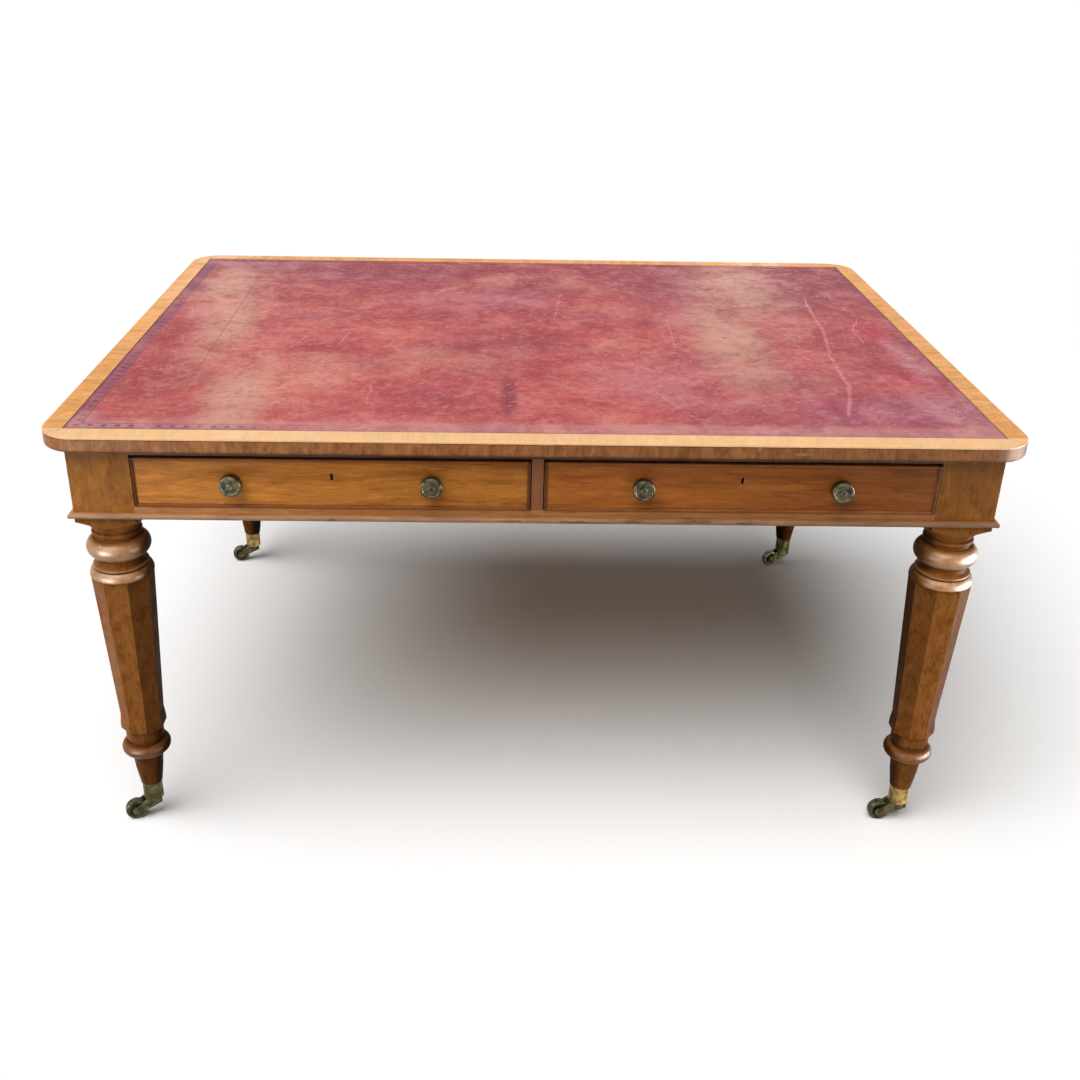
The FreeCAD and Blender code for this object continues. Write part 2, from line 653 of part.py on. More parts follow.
def frieze_bead():
    """Bead mitred round the foot of the frieze."""
    reach = ("frame_x + bead_depth", "frame_y + bead_depth")
    blank = slab("bead_blank", [rectangle(*reach)], "frieze_low", "bead_height")
    rounded(blank, "bead_nose", "bead_round", level)
    node(mitred("frieze_bead", blank, *reach, "bead_depth", ("frieze_low", "frieze_low + bead_height")))


LEG_PROFILE = (
    ("0", "frieze_low + spigot_height"),
    ("spigot_radius", "frieze_low + spigot_height"),
    ("spigot_radius", "plinth_low"),
    ("bell_top", "plinth_low"),
    ("groove_radius", "bell_low", "(bell_top + groove_radius) / 2 + bell_height", False),
    ("groove_radius", "astragal_low",
     bulge("astragal_radius", "groove_radius", "astragal_low", "bell_low"), True),
    ("groove_radius", "torus_high"),
    ("torus_root", "torus_high"),
    ("torus_root", "torus_low", bulge("torus_radius", "torus_root", "torus_low", "torus_high"), True),
    ("groove_radius", "torus_low"),
    ("groove_radius", "fillet_high"),
    ("fillet_radius", "fillet_brim",
     hollow("fillet_radius", "fillet_brim", "groove_radius", "fillet_high"), False),
    ("fillet_radius", "fillet_low"),
    ("quirk_radius", "fillet_low"),
    ("quirk_radius", "shoulder_high"),
    ("fillet_radius", "shoulder_high"),
    ("shoulder_radius", "shoulder_low",
     "shoulder_radius - ((shoulder_radius - fillet_radius)^2 + shoulder_height^2)"
     " / (2 * (shoulder_radius - fillet_radius))", True),
    ("shoulder_radius", "shaft_high"),
    ("shaft_core", "shaft_high"),
    ("shaft_core", "lip_low"),
    ("neck_radius", "lip_low"),
    ("neck_radius", "neck_low"),
    ("neck_groove", "neck_low"),
    ("neck_groove", "ring_high"),
    ("ring_root", "ring_high"),
    ("ring_root", "ring_low", bulge("ring_radius", "ring_root", "ring_low", "ring_high"), True),
    ("flare_radius", "ring_low"),
    ("ankle_radius", "foot_high", hollow("flare_radius", "ring_low", "ankle_radius", "foot_high"), False),
    ("foot_radius", "cup_high"),
    ("cup_bore - glue_gap", "cup_high"),
    ("cup_bore - glue_gap", "bore_low"),
    ("0", "bore_low"),
)


def octagon(radius):
    """Eight corners, with a flat towards each side of the table."""
    turns = [(corner + OCTAGON_FIRST_SHARE) / OCTAGON_SIDES * 360 for corner in range(OCTAGON_SIDES)]
    return [(f"{radius} * cos({turn} deg)", f"{radius} * sin({turn} deg)") for turn in turns]


def legs():
    """Turned legs with an eight-sided tapering shaft, under a square plinth that a hollow taper runs into."""
    for end, back in ENDS.items():
        for side, right in SIDES.items():
            name = f"{end}_{side}_leg"
            body = turned(name, "XZ_Plane", LEG_PROFILE)
            square = rectangle("plinth_half", "plinth_half")
            around = rectangle("bell_top + overrun", "bell_top + overrun")
            squared = feature(body, "Pocket", name + "_squared",
                              sketched(body, name + "_around", "XY_Plane", [around, square], "plinth_low"))
            bind(squared, "Length", "bell_height")
            stations = (("top", "shaft_top", "shaft_high"), ("foot", "shaft_low", "flute_low"),
                        ("flare", "lip_radius", "lip_high"), ("lip", "lip_radius", "lip_low"))
            sections = [sketched(body, f"{name}_{part}", "XY_Plane", [octagon(radius)], height)
                        for part, radius, height in stations]
            shaft = feature(body, "AdditiveLoft", name + "_shaft", sections[0])
            shaft.Sections = sections[1:]
            shaft.Ruled = True
            plinth = feature(body, "Pad", name + "_plinth",
                             sketched(body, name + "_square", "XY_Plane", [square], "plinth_low"))
            bind(plinth, "Length", "plinth_height")
            node(place(body, f"{right} * leg_x", f"{back} * leg_y"))


CUP_PROFILE = (
    ("0", "bore_low"),
    ("cup_bore", "bore_low"),
    ("cup_bore", "cup_high"),
    ("cup_radius", "cup_high"),
    ("cup_low + cup_wall", "swivel_height"),
    ("pin_radius", "swivel_height"),
    ("pin_radius", "head_high"),
    ("pin_head", "head_high"),
    ("pin_head", "head_high - pin_head_high"),
    ("0", "head_high - pin_head_high"),
)

WHEEL_PROFILE = (
    ("axle_radius + pin_gap", "-wheel_width / 2"),
    ("wheel_hub", "-wheel_width / 2"),
    ("wheel_hub", "-wheel_web / 2"),
    ("wheel_radius - wheel_rim - wheel_round", "-wheel_web / 2"),
    ("wheel_radius - wheel_rim - wheel_round", "-wheel_width / 2"),
    ("wheel_radius - wheel_round", "-wheel_width / 2"),
    ("wheel_radius", "wheel_round - wheel_width / 2", "wheel_radius - wheel_round", True),
    ("wheel_radius", "wheel_width / 2 - wheel_round"),
    ("wheel_radius - wheel_round", "wheel_width / 2", "wheel_radius - wheel_round", True),
    ("wheel_radius - wheel_rim - wheel_round", "wheel_width / 2"),
    ("wheel_radius - wheel_rim - wheel_round", "wheel_web / 2"),
    ("wheel_hub", "wheel_web / 2"),
    ("wheel_hub", "wheel_width / 2"),
    ("axle_radius + pin_gap", "wheel_width / 2"),
)

CHEEK_OUTLINE = (
    ("boss_radius", "boss_high"),
    ("-boss_radius", "boss_high"),
    ("-trail", "wheel_radius + cheek_nose"),
    ("-trail", "wheel_radius - cheek_nose", "-trail", False),
    ("boss_radius", "boss_low"),
)


def horn(name):
    """Castor horn: a bored boss with two cheeks, and the axle riveted through them."""
    blank = document.addObject("PartDesign::Body", name + "_blank")
    outline = sketched(blank, name + "_outline", "XZ_Plane", [CHEEK_OUTLINE], "-horn_half")
    bind(feature(blank, "Pad", name + "_pad", outline), "Length", "2 * horn_half")
    boss = rod(name + "_boss", "boss_radius", "0", "0", ("boss_low", "boss_high"))
    nose = "-trail - cheek_nose - overrun"
    slot = box(name + "_slot", (nose, "-boss_radius"), centred("slot_half"),
               ("-overrun", "boss_high + overrun"))
    under = box(name + "_under", (nose, "boss_radius + overrun"), centred("slot_half"),
                ("-overrun", "boss_low"))
    bore = rod(name + "_bore", "pin_radius + pin_gap", "0", "0",
               ("boss_low - overrun", "boss_high + overrun"))
    fork = cut(name + "_fork", fuse(name + "_solid", blank, boss), slot, under, bore)
    axle = rod(name + "_axle", "axle_radius", "-trail", centred("horn_half + axle_proud"),
               "wheel_radius", "y")
    return fuse(name, fork, axle)


def castors():
    """Brass cups on the feet, each with its horn and wheel."""
    cups = []
    for end, back in ENDS.items():
        for side, right in SIDES.items():
            name = f"{end}_{side}_castor"
            x, y = f"{right} * leg_x", f"{back} * leg_y"
            heading = f"heading_{end}_{side}"
            cups.append(place(turned(name + "_cup", "XZ_Plane", CUP_PROFILE), x, y))
            fork = node(place(horn(name + "_horn"), x, y))
            wheel = turned(name + "_wheel", "XY_Plane", WHEEL_PROFILE)
            node(place(wheel, f"{x} - trail * cos({heading} * 1 deg)",
                       f"{y} - trail * sin({heading} * 1 deg)", "wheel_radius"))
            for item in (fork, wheel):
                bind(item, "Placement.Rotation.Angle", heading)
    node(group("castor_cups", cups))


KNOB_PROFILE = (
    ("0", "-knob_projection"),
    ("knob_boss", "-knob_projection"),
    ("knob_boss", "knob_dish - knob_projection"),
    ("knob_rim", "knob_dish - knob_projection"),
    ("knob_rim", "knob_dish / 2 - knob_projection"),
    ("(knob_rim + knob_radius) / 2", "knob_dish / 2 - knob_projection"),
    ("knob_radius", "knob_round - knob_projection",
     "knob_radius - ((knob_radius - knob_rim)^2 + (2 * knob_round - knob_dish)^2)"
     " / (4 * (knob_radius - knob_rim))", True),
    ("knob_radius", "knob_head - knob_round - knob_projection"),
    ("knob_radius - knob_round", "knob_head - knob_projection"),
    ("knob_neck", "knob_head - knob_projection"),
    ("knob_neck", "-knob_rose_thick"),
    ("knob_rose", "-knob_rose_thick / 2"),
    ("knob_rose", "0"),
    ("knob_shank", "0"),
    ("knob_shank", "knob_reach"),
    ("0", "knob_reach"),
)


def drawer_face(name):
    """Front board with its raised field, keyhole, knob holes, bottom groove and lock recess."""
    room = " + glue_gap"
    high = ("ride", "drawer_high")
    through = ("-overrun", "front_lap")
    field = box(name + "_field", centred("drawer_half - cock_width"), ("0", "cock_depth"),
                ("ride + cock_width", "drawer_high - cock_width"))
    web = box(name + "_web", centred("drawer_half"), ("cock_depth", "front_lap"), high)
    rear = box(name + "_rear", centred("inside_half"), ("front_lap", "front_thick"), high)
    key = rod(name + "_key", "key_radius", "0", through, "key_lift", "y")
    slot = box(name + "_key_slot", centred("key_slot / 2"), through, ("key_lift - key_drop", "key_lift"))
    recess = box(name + "_recess", centred("lock_width / 2" + room), ("front_lap", "front_thick + overrun"),
                 ("drawer_high - lock_height - glue_gap", "drawer_high + overrun"))
    trench = box(name + "_trench", centred("inside_half + overrun"),
                 ("front_thick - groove", "front_thick + overrun"), ("panel_low", "panel_high"))
    shanks = [rod(f"{name}_{side}_shank", "knob_shank" + room, f"{right} * knob_spread",
                  ("-overrun", "knob_reach" + room), "knob_lift", "y")
              for side, right in SIDES.items()]
    blank = fuse(name + "_face_blank", field, web, rear)
    return cut(name + "_face", blank, key, slot, recess, trench, *shanks)


def drawer_box(name):
    """Two grooved sides and a back that stops above the bottom."""
    boards = []
    for side, right in SIDES.items():
        board = box(f"{name}_{side}_board", mirrored(right, "inside_half", "drawer_half"),
                    ("front_lap", "drawer_length"), ("ride", "ride + side_height"))
        trench = box(f"{name}_{side}_groove",
                     mirrored(right, "inside_half - overrun", "inside_half + groove"),
                     ("front_lap - overrun", "drawer_length + overrun"), ("panel_low", "panel_high"))
        boards.append(cut(f"{name}_{side}_side", board, trench))
    boards.append(box(name + "_back", centred("inside_half"), ("drawer_length - back_thick", "drawer_length"),
                      ("panel_high", "ride + side_height - back_drop")))
    return group(name + "_box", boards)


def drawer_bottom(name):
    """Thin panel slid into the grooves from behind."""
    panel = box(name + "_panel", centred("inside_half + groove - glue_gap"),
                ("front_thick - groove + glue_gap", "drawer_length"), ("panel_low", "panel_high"))
    return group(name + "_bottom", [panel])


def drawer_cockbead(name):
    """Round-nosed bead let in round the front, mitred at its corners."""
    half_high = "(drawer_high - ride) / 2"
    loops = [rectangle("drawer_half", half_high),
             rectangle("drawer_half - cock_width", half_high + " - cock_width")]
    ring = slab(name + "_ring", loops, "-cock_depth", "cock_depth + cock_proud")
    rounded(ring, name + "_nose", "cock_round", upper)
    strips = mitred(name + "_strips", ring, "drawer_half", half_high, "cock_width",
                    ("-cock_depth", "cock_proud"))
    return group(name + "_cockbead", [place(strips, z="(drawer_high + ride) / 2", tip=90)])


def drawer_knobs(name):
    """Two turned knobs with shanks in the front."""
    knobs = [place(turned(f"{name}_{side}_knob", "XY_Plane", KNOB_PROFILE),
                   f"{right} * knob_spread", "0", "knob_lift")
             for side, right in SIDES.items()]
    return group(name + "_knobs", knobs)


def drawer_lock(name):
    """Lock case let into the back of the front, open at the top for its bolt."""
    case = box(name + "_case", centred("lock_width / 2"), ("front_lap", "front_thick"),
               ("drawer_high - lock_height", "drawer_high"))
    channel = box(name + "_channel", centred("bolt_width / 2 + bolt_gap"),
                  ("bolt_mid - bolt_thick / 2 - bolt_gap", "bolt_mid + bolt_thick / 2 + bolt_gap"),
                  ("bolt_low - bolt_gap", "drawer_high + overrun"))
    return cut(name + "_lock", case, channel)


def drawer_bolt(name):
    """Flat bolt that rises from the lock into the rail above."""
    blade = box(name + "_blade", centred("bolt_width / 2"),
                ("bolt_mid - bolt_thick / 2", "bolt_mid + bolt_thick / 2"), ("bolt_low", "bolt_high"))
    return group(name + "_bolt", [blade])


def drawers():
    """Four drawers, each built with its face on y = 0 looking along -y, then set in its opening."""
    makers = (drawer_face, drawer_box, drawer_bottom, drawer_cockbead, drawer_knobs, drawer_lock, drawer_bolt)
    for end, y, turn in (("front", "-frame_y", 0), ("back", "frame_y", 180)):
        for side, right in SIDES.items():
            for make in makers:
                node(place(make(f"{end}_{side}_drawer"), f"{right} * drawer_x", y, "open_low", turn))


def check_and_write():
    """Stop on any failed object, then write each sub-part to its own file."""
    document.recompute()
    for item in document.Objects:
        if "Invalid" in item.State or "Error" in item.State:
            raise RuntimeError(f"{item.Label} failed: {item.State}")
    os.makedirs("parts", exist_ok=True)
    for item in nodes:
        if item.Shape.isNull() or not item.Shape.isValid() or not item.Shape.Solids:
            raise RuntimeError(f"{item.Label} has no valid solid")
        item.Shape.exportStep(f"parts/{item.Label}.step")


fill_sheet()
top()
top_screws()
corner_posts()
aprons()
rails()
muntins()
drawer_frame()
frieze_bead()
legs()
castors()
drawers()
check_and_write()
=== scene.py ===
import math

import bpy
from mathutils import Matrix, Vector


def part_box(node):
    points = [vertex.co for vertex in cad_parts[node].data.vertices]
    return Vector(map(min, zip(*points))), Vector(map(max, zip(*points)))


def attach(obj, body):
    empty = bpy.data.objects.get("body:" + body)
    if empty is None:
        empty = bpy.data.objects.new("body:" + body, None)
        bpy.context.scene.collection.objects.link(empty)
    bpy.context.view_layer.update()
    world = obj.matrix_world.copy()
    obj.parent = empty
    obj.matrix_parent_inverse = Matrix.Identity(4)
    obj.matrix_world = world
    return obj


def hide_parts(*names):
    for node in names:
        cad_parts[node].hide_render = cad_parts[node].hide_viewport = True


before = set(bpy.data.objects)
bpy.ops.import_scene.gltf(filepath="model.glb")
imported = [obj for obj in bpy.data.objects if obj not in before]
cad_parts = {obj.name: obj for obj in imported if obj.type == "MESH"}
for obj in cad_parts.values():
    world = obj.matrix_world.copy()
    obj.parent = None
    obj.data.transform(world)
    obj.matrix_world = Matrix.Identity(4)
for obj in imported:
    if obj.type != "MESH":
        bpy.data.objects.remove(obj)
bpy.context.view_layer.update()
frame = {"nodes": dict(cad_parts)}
nodes = frame["nodes"]

ENDS = ("front", "back")
SIDES = ("left", "right")
CORNERS = [(end, side) for end in ENDS for side in SIDES]

# The photograph's camera: picture side, focal length and axis in pixels, place in metres, angles in radians.
PICTURE = 1080
FOCAL_PX = 1220.947
AXIS_PX = (511.683, 526.673)
EYE = Vector((-0.0713, -2.2789, 1.4531))
PITCH, YAW, ROLL = 0.4537, 0.0188, 0.0182
SENSOR_MM = 36


def look_along(forward, roll):
    """Axes of a camera that looks along a direction and leans by an angle."""
    right = forward.cross(Vector((0, 0, 1))).normalized()
    up = right.cross(forward)
    across = math.cos(roll) * right + math.sin(roll) * up
    upward = math.cos(roll) * up - math.sin(roll) * right
    return Matrix((across, upward, -forward)).transposed()


FORWARD = Vector((math.sin(YAW) * math.cos(PITCH), math.cos(YAW) * math.cos(PITCH), -math.sin(PITCH)))
CAMERA_AXES = look_along(FORWARD, ROLL)


def colour(red, green, blue):
    """A colour written as it shows on a screen, 0 to 255, as the linear value that shaders take."""
    shares = [value / 255 for value in (red, green, blue)]
    linear = [s / 12.92 if s <= 0.04045 else ((s + 0.055) / 1.055) ** 2.4 for s in shares]
    return (*linear, 1.0)


class Tree:
    """The nodes of one material. Each method adds a node and returns its output."""

    def __init__(self, name):
        self.material = bpy.data.materials.new(name)
        self.material.use_nodes = True
        self.nodes = self.material.node_tree.nodes
        self.links = self.material.node_tree.links
        self.shader = self.nodes["Principled BSDF"]

    def node(self, kind, inputs, output=0, **settings):
        made = self.nodes.new("ShaderNode" + kind)
        for key, value in settings.items():
            setattr(made, key, value)
        for key, value in inputs.items():
            self.put(made.inputs[key], value)
        return made.outputs[output]

    def put(self, socket, value):
        if isinstance(value, bpy.types.NodeSocket):
            self.links.new(value, socket)
        else:
            socket.default_value = value

    def surface(self, **inputs):
        for key, value in inputs.items():
            self.put(self.shader.inputs[key.replace("_", " ").title().replace("Ior", "IOR")], value)
        return self.material

    def place(self, shift=0.0):
        """A point's place in the table's frame, moved so that pieces don't share one pattern."""
        here = self.node("TexCoord", {}, "Object")
        return self.vector("ADD", here, (shift, 1.7 * shift, 2.3 * shift)) if shift else here

    def vector(self, operation, first, second):
        return self.node("VectorMath", {0: first, 1: second}, operation=operation)

    def math(self, operation, first, second=0.5, clamp=False):
        return self.node("Math", {0: first, 1: second}, operation=operation, use_clamp=clamp)

    def fold(self, operation, values):
        """One number from several, such as the least of them."""
        first, *others = values
        for value in others:
            first = self.math(operation, first, value)
        return first

    def length(self, vector):
        return self.node("VectorMath", {0: vector}, "Value", operation="LENGTH")

    def waved(self, place, scale, amount):
        """A place shifted a little, so that straight lines waver."""
        shift = self.node("TexNoise", {"Vector": place, "Scale": scale, "Detail": 2.0}, "Color")
        shift = self.vector("SUBTRACT", shift, (0.5, 0.5, 0.5))
        return self.vector("ADD", place, self.vector("MULTIPLY", shift, (amount, amount, 0.0)))

    def axis(self, place, letter):
        return self.node("SeparateXYZ", {0: place}, letter.upper())

    def noise(self, place, scale=1.0, detail=4.0, rough=0.55, bend=0.0):
        return self.node("TexNoise", {"Vector": place, "Scale": scale, "Detail": detail,
                                      "Roughness": rough, "Distortion": bend}, "Fac")

    def grain(self, place, axis, along, across, **settings):
        """Noise drawn out along the grain; along and across are its counts per metre."""
        counts = [along if letter == axis else across for letter in "xyz"]
        return self.noise(self.vector("MULTIPLY", place, counts), **settings)

    def span(self, value, low, high, start=0.0, stop=1.0):
        """A value's way from low to high, eased, as a number from start to stop."""
        return self.node("MapRange", {"Value": value, "From Min": low, "From Max": high,
                                      "To Min": start, "To Max": stop}, interpolation_type="SMOOTHSTEP")

    def ramp(self, value, *stops):
        made = self.nodes.new("ShaderNodeValToRGB")
        self.links.new(value, made.inputs[0])
        band = made.color_ramp.elements
        while len(band) < len(stops):
            band.new(1.0)
        for element, (position, tone) in zip(band, stops):
            element.position = position
            element.color = tone
        return made.outputs[0]

    def mix(self, share, first, second, blend="MIX"):
        return self.node("Mix", {0: share, 6: first, 7: second}, 2, data_type="RGBA", blend_type=blend)

    def edge(self, radius):
        """How strongly a sharp edge is near, from 0 to about 0.3."""
        soft = self.node("Bevel", {"Radius": radius}, samples=4)
        straight = self.node("NewGeometry", {}, "Normal")
        facing = self.node("VectorMath", {0: soft, 1: straight}, "Value", operation="DOT_PRODUCT")
        return self.math("SUBTRACT", 1.0, facing, clamp=True)

    def hollow(self, distance):
        """How deep a point lies in a groove of its own piece, from 0 in the open to 1."""
        open_share = self.node("AmbientOcclusion", {"Distance": distance}, "AO", samples=6, only_local=True)
        return self.math("SUBTRACT", 1.0, open_share, clamp=True)

    def relief(self, height, strength, depth, edge_radius=0.0006):
        """Fine relief on edges that are eased a little."""
        eased = self.node("Bevel", {"Radius": edge_radius}, samples=4)
        return self.node("Bump", {"Height": height, "Strength": strength, "Distance": depth, "Normal": eased})


# Sizes of wear and painted shade in metres: reach out of hollows, width of rubbed edges, depth of relief.
# Wood's hollows darken with dirt and painted shade, metal's with patina.
WOOD_DIRT_AND_SHADE, WOOD_RUB, WOOD_RELIEF = 0.014, 0.0025, 0.0004
METAL_DIRT, METAL_RUB, METAL_RELIEF, METAL_EASE = 0.008, 0.0014, 0.0003, 0.0004
LEATHER_RELIEF = 0.0004
SEAM_REACH = 0.008
# Near-black of grime and of painted shade.
GRIME_AND_SHADE = colour(34, 17, 9)
SHADE = colour(120, 96, 80)
# Ends of the table between which painted shade darkens the wood from left to right.
SHADE_ENDS = (-0.75, 0.75)


def tones(red, green, blue):
    """Dark, middle and light of one wood, from its middle tone."""
    middle = colour(red, green, blue)
    dark = (middle[0] * 0.56, middle[1] * 0.48, middle[2] * 0.42, 1.0)
    light = (min(middle[0] * 1.34, 1.0), min(middle[1] * 1.42, 1.0), min(middle[2] * 1.5, 1.0), 1.0)
    return dark, middle, light


def shaded(tree, base, amount, low, high, letter="x"):
    """A colour that darkens along one axis from low to high."""
    along = tree.axis(tree.place(), letter)
    return tree.mix(tree.span(along, low, high, 0.0, amount), base, SHADE, "MULTIPLY")


def painted_shade_to_right(tree, base, amount=0.35):
    """Painted shade: a colour that darkens from the table's left end to its right end, where less light
    falls.
    """
    return shaded(tree, base, amount, *SHADE_ENDS)


def near(tree, here, spots):
    """Distance to the nearest of some spots, counted in spot sizes."""
    offsets = [tree.vector("DIVIDE", tree.vector("SUBTRACT", here, place), size) for place, size in spots]
    return tree.fold("MINIMUM", [tree.length(offset) for offset in offsets])


def margins(tree, half_x, half_y):
    """How far a point lies inside the ends and the long sides of a rectangle round the table's middle."""
    here = tree.place()
    return [tree.math("SUBTRACT", half, tree.math("ABSOLUTE", tree.axis(here, letter)))
            for half, letter in ((half_x, "x"), (half_y, "y"))]


def marked(tree, base, tone, share, spots):
    """A colour with ragged spots of another tone."""
    here = tree.place()
    ragged = tree.math("MULTIPLY", tree.math("SUBTRACT", tree.noise(here, 190, 3, 0.6), 0.5), 2.2)
    away = tree.math("ADD", near(tree, here, spots), ragged)
    return tree.mix(tree.span(away, 0.5, 1.1, share, 0.0), base, tone)


def seam_dirt_and_shade(tree, base, name, letters, reach):
    """Dirt and painted shade along the edges of a board, where it meets its neighbours."""
    low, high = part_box(name)
    middle, half = (low + high) / 2, (high - low) / 2
    for letter in letters:
        index = "xyz".index(letter)
        away = tree.math("ABSOLUTE", tree.math("SUBTRACT", tree.axis(tree.place(), letter), middle[index]))
        margin = tree.math("SUBTRACT", half[index], away)
        base = tree.mix(tree.span(margin, reach * 0.4, reach, 0.85, 0.0), base, GRIME_AND_SHADE)
    return base


def wood(name, tone, axis, shift, streak=58, contrast=0.45, figure=0.6, long=14, wide=80, fleck=0.45,
         polish=0.40, shine=0.2, worn=colour(206, 152, 96), rub=0.5, hollow_darkening=0.8, source=None, finish=None):
    """Polished old wood: streaks, figure and flecks along the grain, dirt and painted shade in hollows,
    rubbed edges.
    """
    tree = Tree(name)
    here = tree.place(shift) if source is None else source(tree, shift)
    dark, middle, light = tones(*tone)
    bands = tree.grain(here, axis, 2.4, streak, detail=7, rough=0.62, bend=0.6)
    clouds = tree.grain(here, axis, long, wide, detail=5, rough=0.66, bend=0.7)
    broad = tree.grain(here, axis, 3, 9, detail=4)
    fibres = tree.grain(here, axis, 16, 620, detail=4, rough=0.7)
    pores = tree.grain(here, axis, 60, 1500, detail=2)
    flecks = tree.grain(here, axis, 38, 300, detail=3, rough=0.6)
    blotch = tree.noise(here, 14, 5, 0.65)
    base = tree.mix(contrast, middle, tree.ramp(bands, (0.30, dark), (0.50, middle), (0.72, light)))
    base = tree.mix(tree.span(broad, 0.32, 0.68, 0.30, 0.0), base, dark)
    base = tree.mix(tree.span(clouds, 0.50, 0.66, 0.0, figure), base, dark)
    base = tree.mix(tree.span(clouds, 0.50, 0.34, 0.0, 0.8 * figure), base, light)
    base = tree.mix(tree.span(fibres, 0.42, 0.62, 0.0, 0.22), base, light)
    base = tree.mix(tree.span(flecks, 0.56, 0.68, 0.0, fleck), base, dark)
    base = tree.mix(tree.span(pores, 0.56, 0.68, 0.0, 0.45), base, dark)
    base = tree.mix(tree.span(blotch, 0.56, 0.76, 0.0, 0.35), base, dark)
    if finish is not None:
        base = finish(tree, base)
    # Dirt and painted shade darken the hollows.
    dirt_and_shade = tree.math("MULTIPLY", tree.span(tree.hollow(WOOD_DIRT_AND_SHADE), 0.10, 0.70), hollow_darkening)
    base = tree.mix(dirt_and_shade, base, GRIME_AND_SHADE)
    wear = tree.math("MULTIPLY", tree.span(tree.edge(WOOD_RUB), 0.03, 0.22), tree.span(blotch, 0.36, 0.58))
    base = tree.mix(tree.math("MULTIPLY", wear, rub), base, worn)
    gloss = tree.math("ADD", tree.span(blotch, 0.3, 0.7, polish - 0.07, polish + 0.12),
                      tree.math("MULTIPLY", dirt_and_shade, 0.3))
    height = tree.math("SUBTRACT", tree.math("MULTIPLY", fibres, 0.5), tree.math("ADD", pores, flecks))
    return tree.surface(base_color=base, roughness=gloss, normal=tree.relief(height, 0.22, WOOD_RELIEF),
                        specular_ior_level=shine(tree) if callable(shine) else shine)


def along_strip(half_x, half_y):
    """Places measured along and across a border's strips, which meet in mitres at its corners."""
    def measured(tree, shift):
        here = tree.place()
        x, y, z = (tree.axis(here, letter) for letter in "xyz")
        from_end, from_front = margins(tree, half_x, half_y)
        long_side = tree.math("LESS_THAN", from_front, from_end)
        along = tree.node("Mix", {0: long_side, 2: y, 3: x})
        across = tree.node("Mix", {0: long_side, 2: x, 3: y})
        turned = tree.node("CombineXYZ", {0: along, 1: across, 2: z})
        return tree.vector("ADD", turned, (shift, 0.0, 0.0))
    return measured


def plain_wood(name, tone, axis, shift):
    """Unpolished inner wood."""
    tree = Tree(name)
    here = tree.place(shift)
    dark, middle, light = tones(*tone)
    bands = tree.grain(here, axis, 1.8, 40, detail=6, bend=0.8)
    fibres = tree.grain(here, axis, 20, 700, detail=4, rough=0.7)
    stain = tree.noise(here, 6, 5, 0.6)
    base = tree.ramp(bands, (0.3, dark), (0.52, middle), (0.74, light))
    base = tree.mix(tree.span(fibres, 0.4, 0.65, 0.0, 0.35), base, dark)
    base = tree.mix(tree.span(stain, 0.5, 0.75, 0.0, 0.4), base, GRIME_AND_SHADE)
    return tree.surface(base_color=base, roughness=tree.span(fibres, 0.3, 0.7, 0.62, 0.85),
                        normal=tree.relief(fibres, 0.35, WOOD_RELIEF))


def metal(name, bright, dull, patina, roughness, shift, other=None, rubbed=None):
    """Old metal: dull all over, dark in its hollows, bright where hands rub it."""
    tree = Tree(name)
    here = tree.place(shift)
    cloud = tree.noise(here, 90, 5, 0.65)
    specks = tree.noise(here, 620, 3, 0.6)
    base = tree.mix(tree.span(cloud, 0.35, 0.65), dull, bright)
    if other is not None:
        corner = tree.math("MULTIPLY", *(tree.axis(tree.place(), letter) for letter in "xy"))
        second = tree.mix(tree.span(cloud, 0.3, 0.6), dull, other)
        base = tree.mix(tree.math("LESS_THAN", corner, 0.0), base, second)
    base = tree.mix(tree.span(tree.hollow(METAL_DIRT), 0.08, 0.50, 0.0, 0.94), base, patina)
    base = tree.mix(tree.span(specks, 0.54, 0.70, 0.0, 0.6), base, patina)
    # Rubbed edges are brighter; for the knobs this is partly a painted highlight.
    base = tree.mix(tree.span(tree.edge(METAL_RUB), 0.04, 0.22, 0.0, 0.7), base, rubbed or bright)
    gloss = tree.span(cloud, 0.3, 0.7, roughness - 0.08, roughness + 0.14)
    return tree.surface(base_color=base, metallic=0.85, roughness=gloss,
                        normal=tree.relief(specks, 0.25, METAL_RELIEF, METAL_EASE))


LEATHER_LOW, LEATHER_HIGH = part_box("leather_skiver")
LEATHER_TOP = LEATHER_HIGH.z


def under_pixel(across, down):
    """The place on the leather that the photograph shows at a pixel, counted from its upper left corner."""
    ray = CAMERA_AXES @ Vector((across - AXIS_PX[0], AXIS_PX[1] - down, -FOCAL_PX))
    return EYE + ray * ((LEATHER_TOP - EYE.z) / ray.z)


def on_leather(*spots):
    """Spots of the leather, each given by its place and half its size in metres."""
    return [((x, y, LEATHER_TOP), (half_x, half_y, 1)) for x, y, half_x, half_y in spots]


def pictured(*spots):
    """Spots of the leather, each given by its pixel in the photograph and half its size in metres."""
    return [(under_pixel(across, down), (half_x, half_y, 1)) for across, down, half_x, half_y in spots]
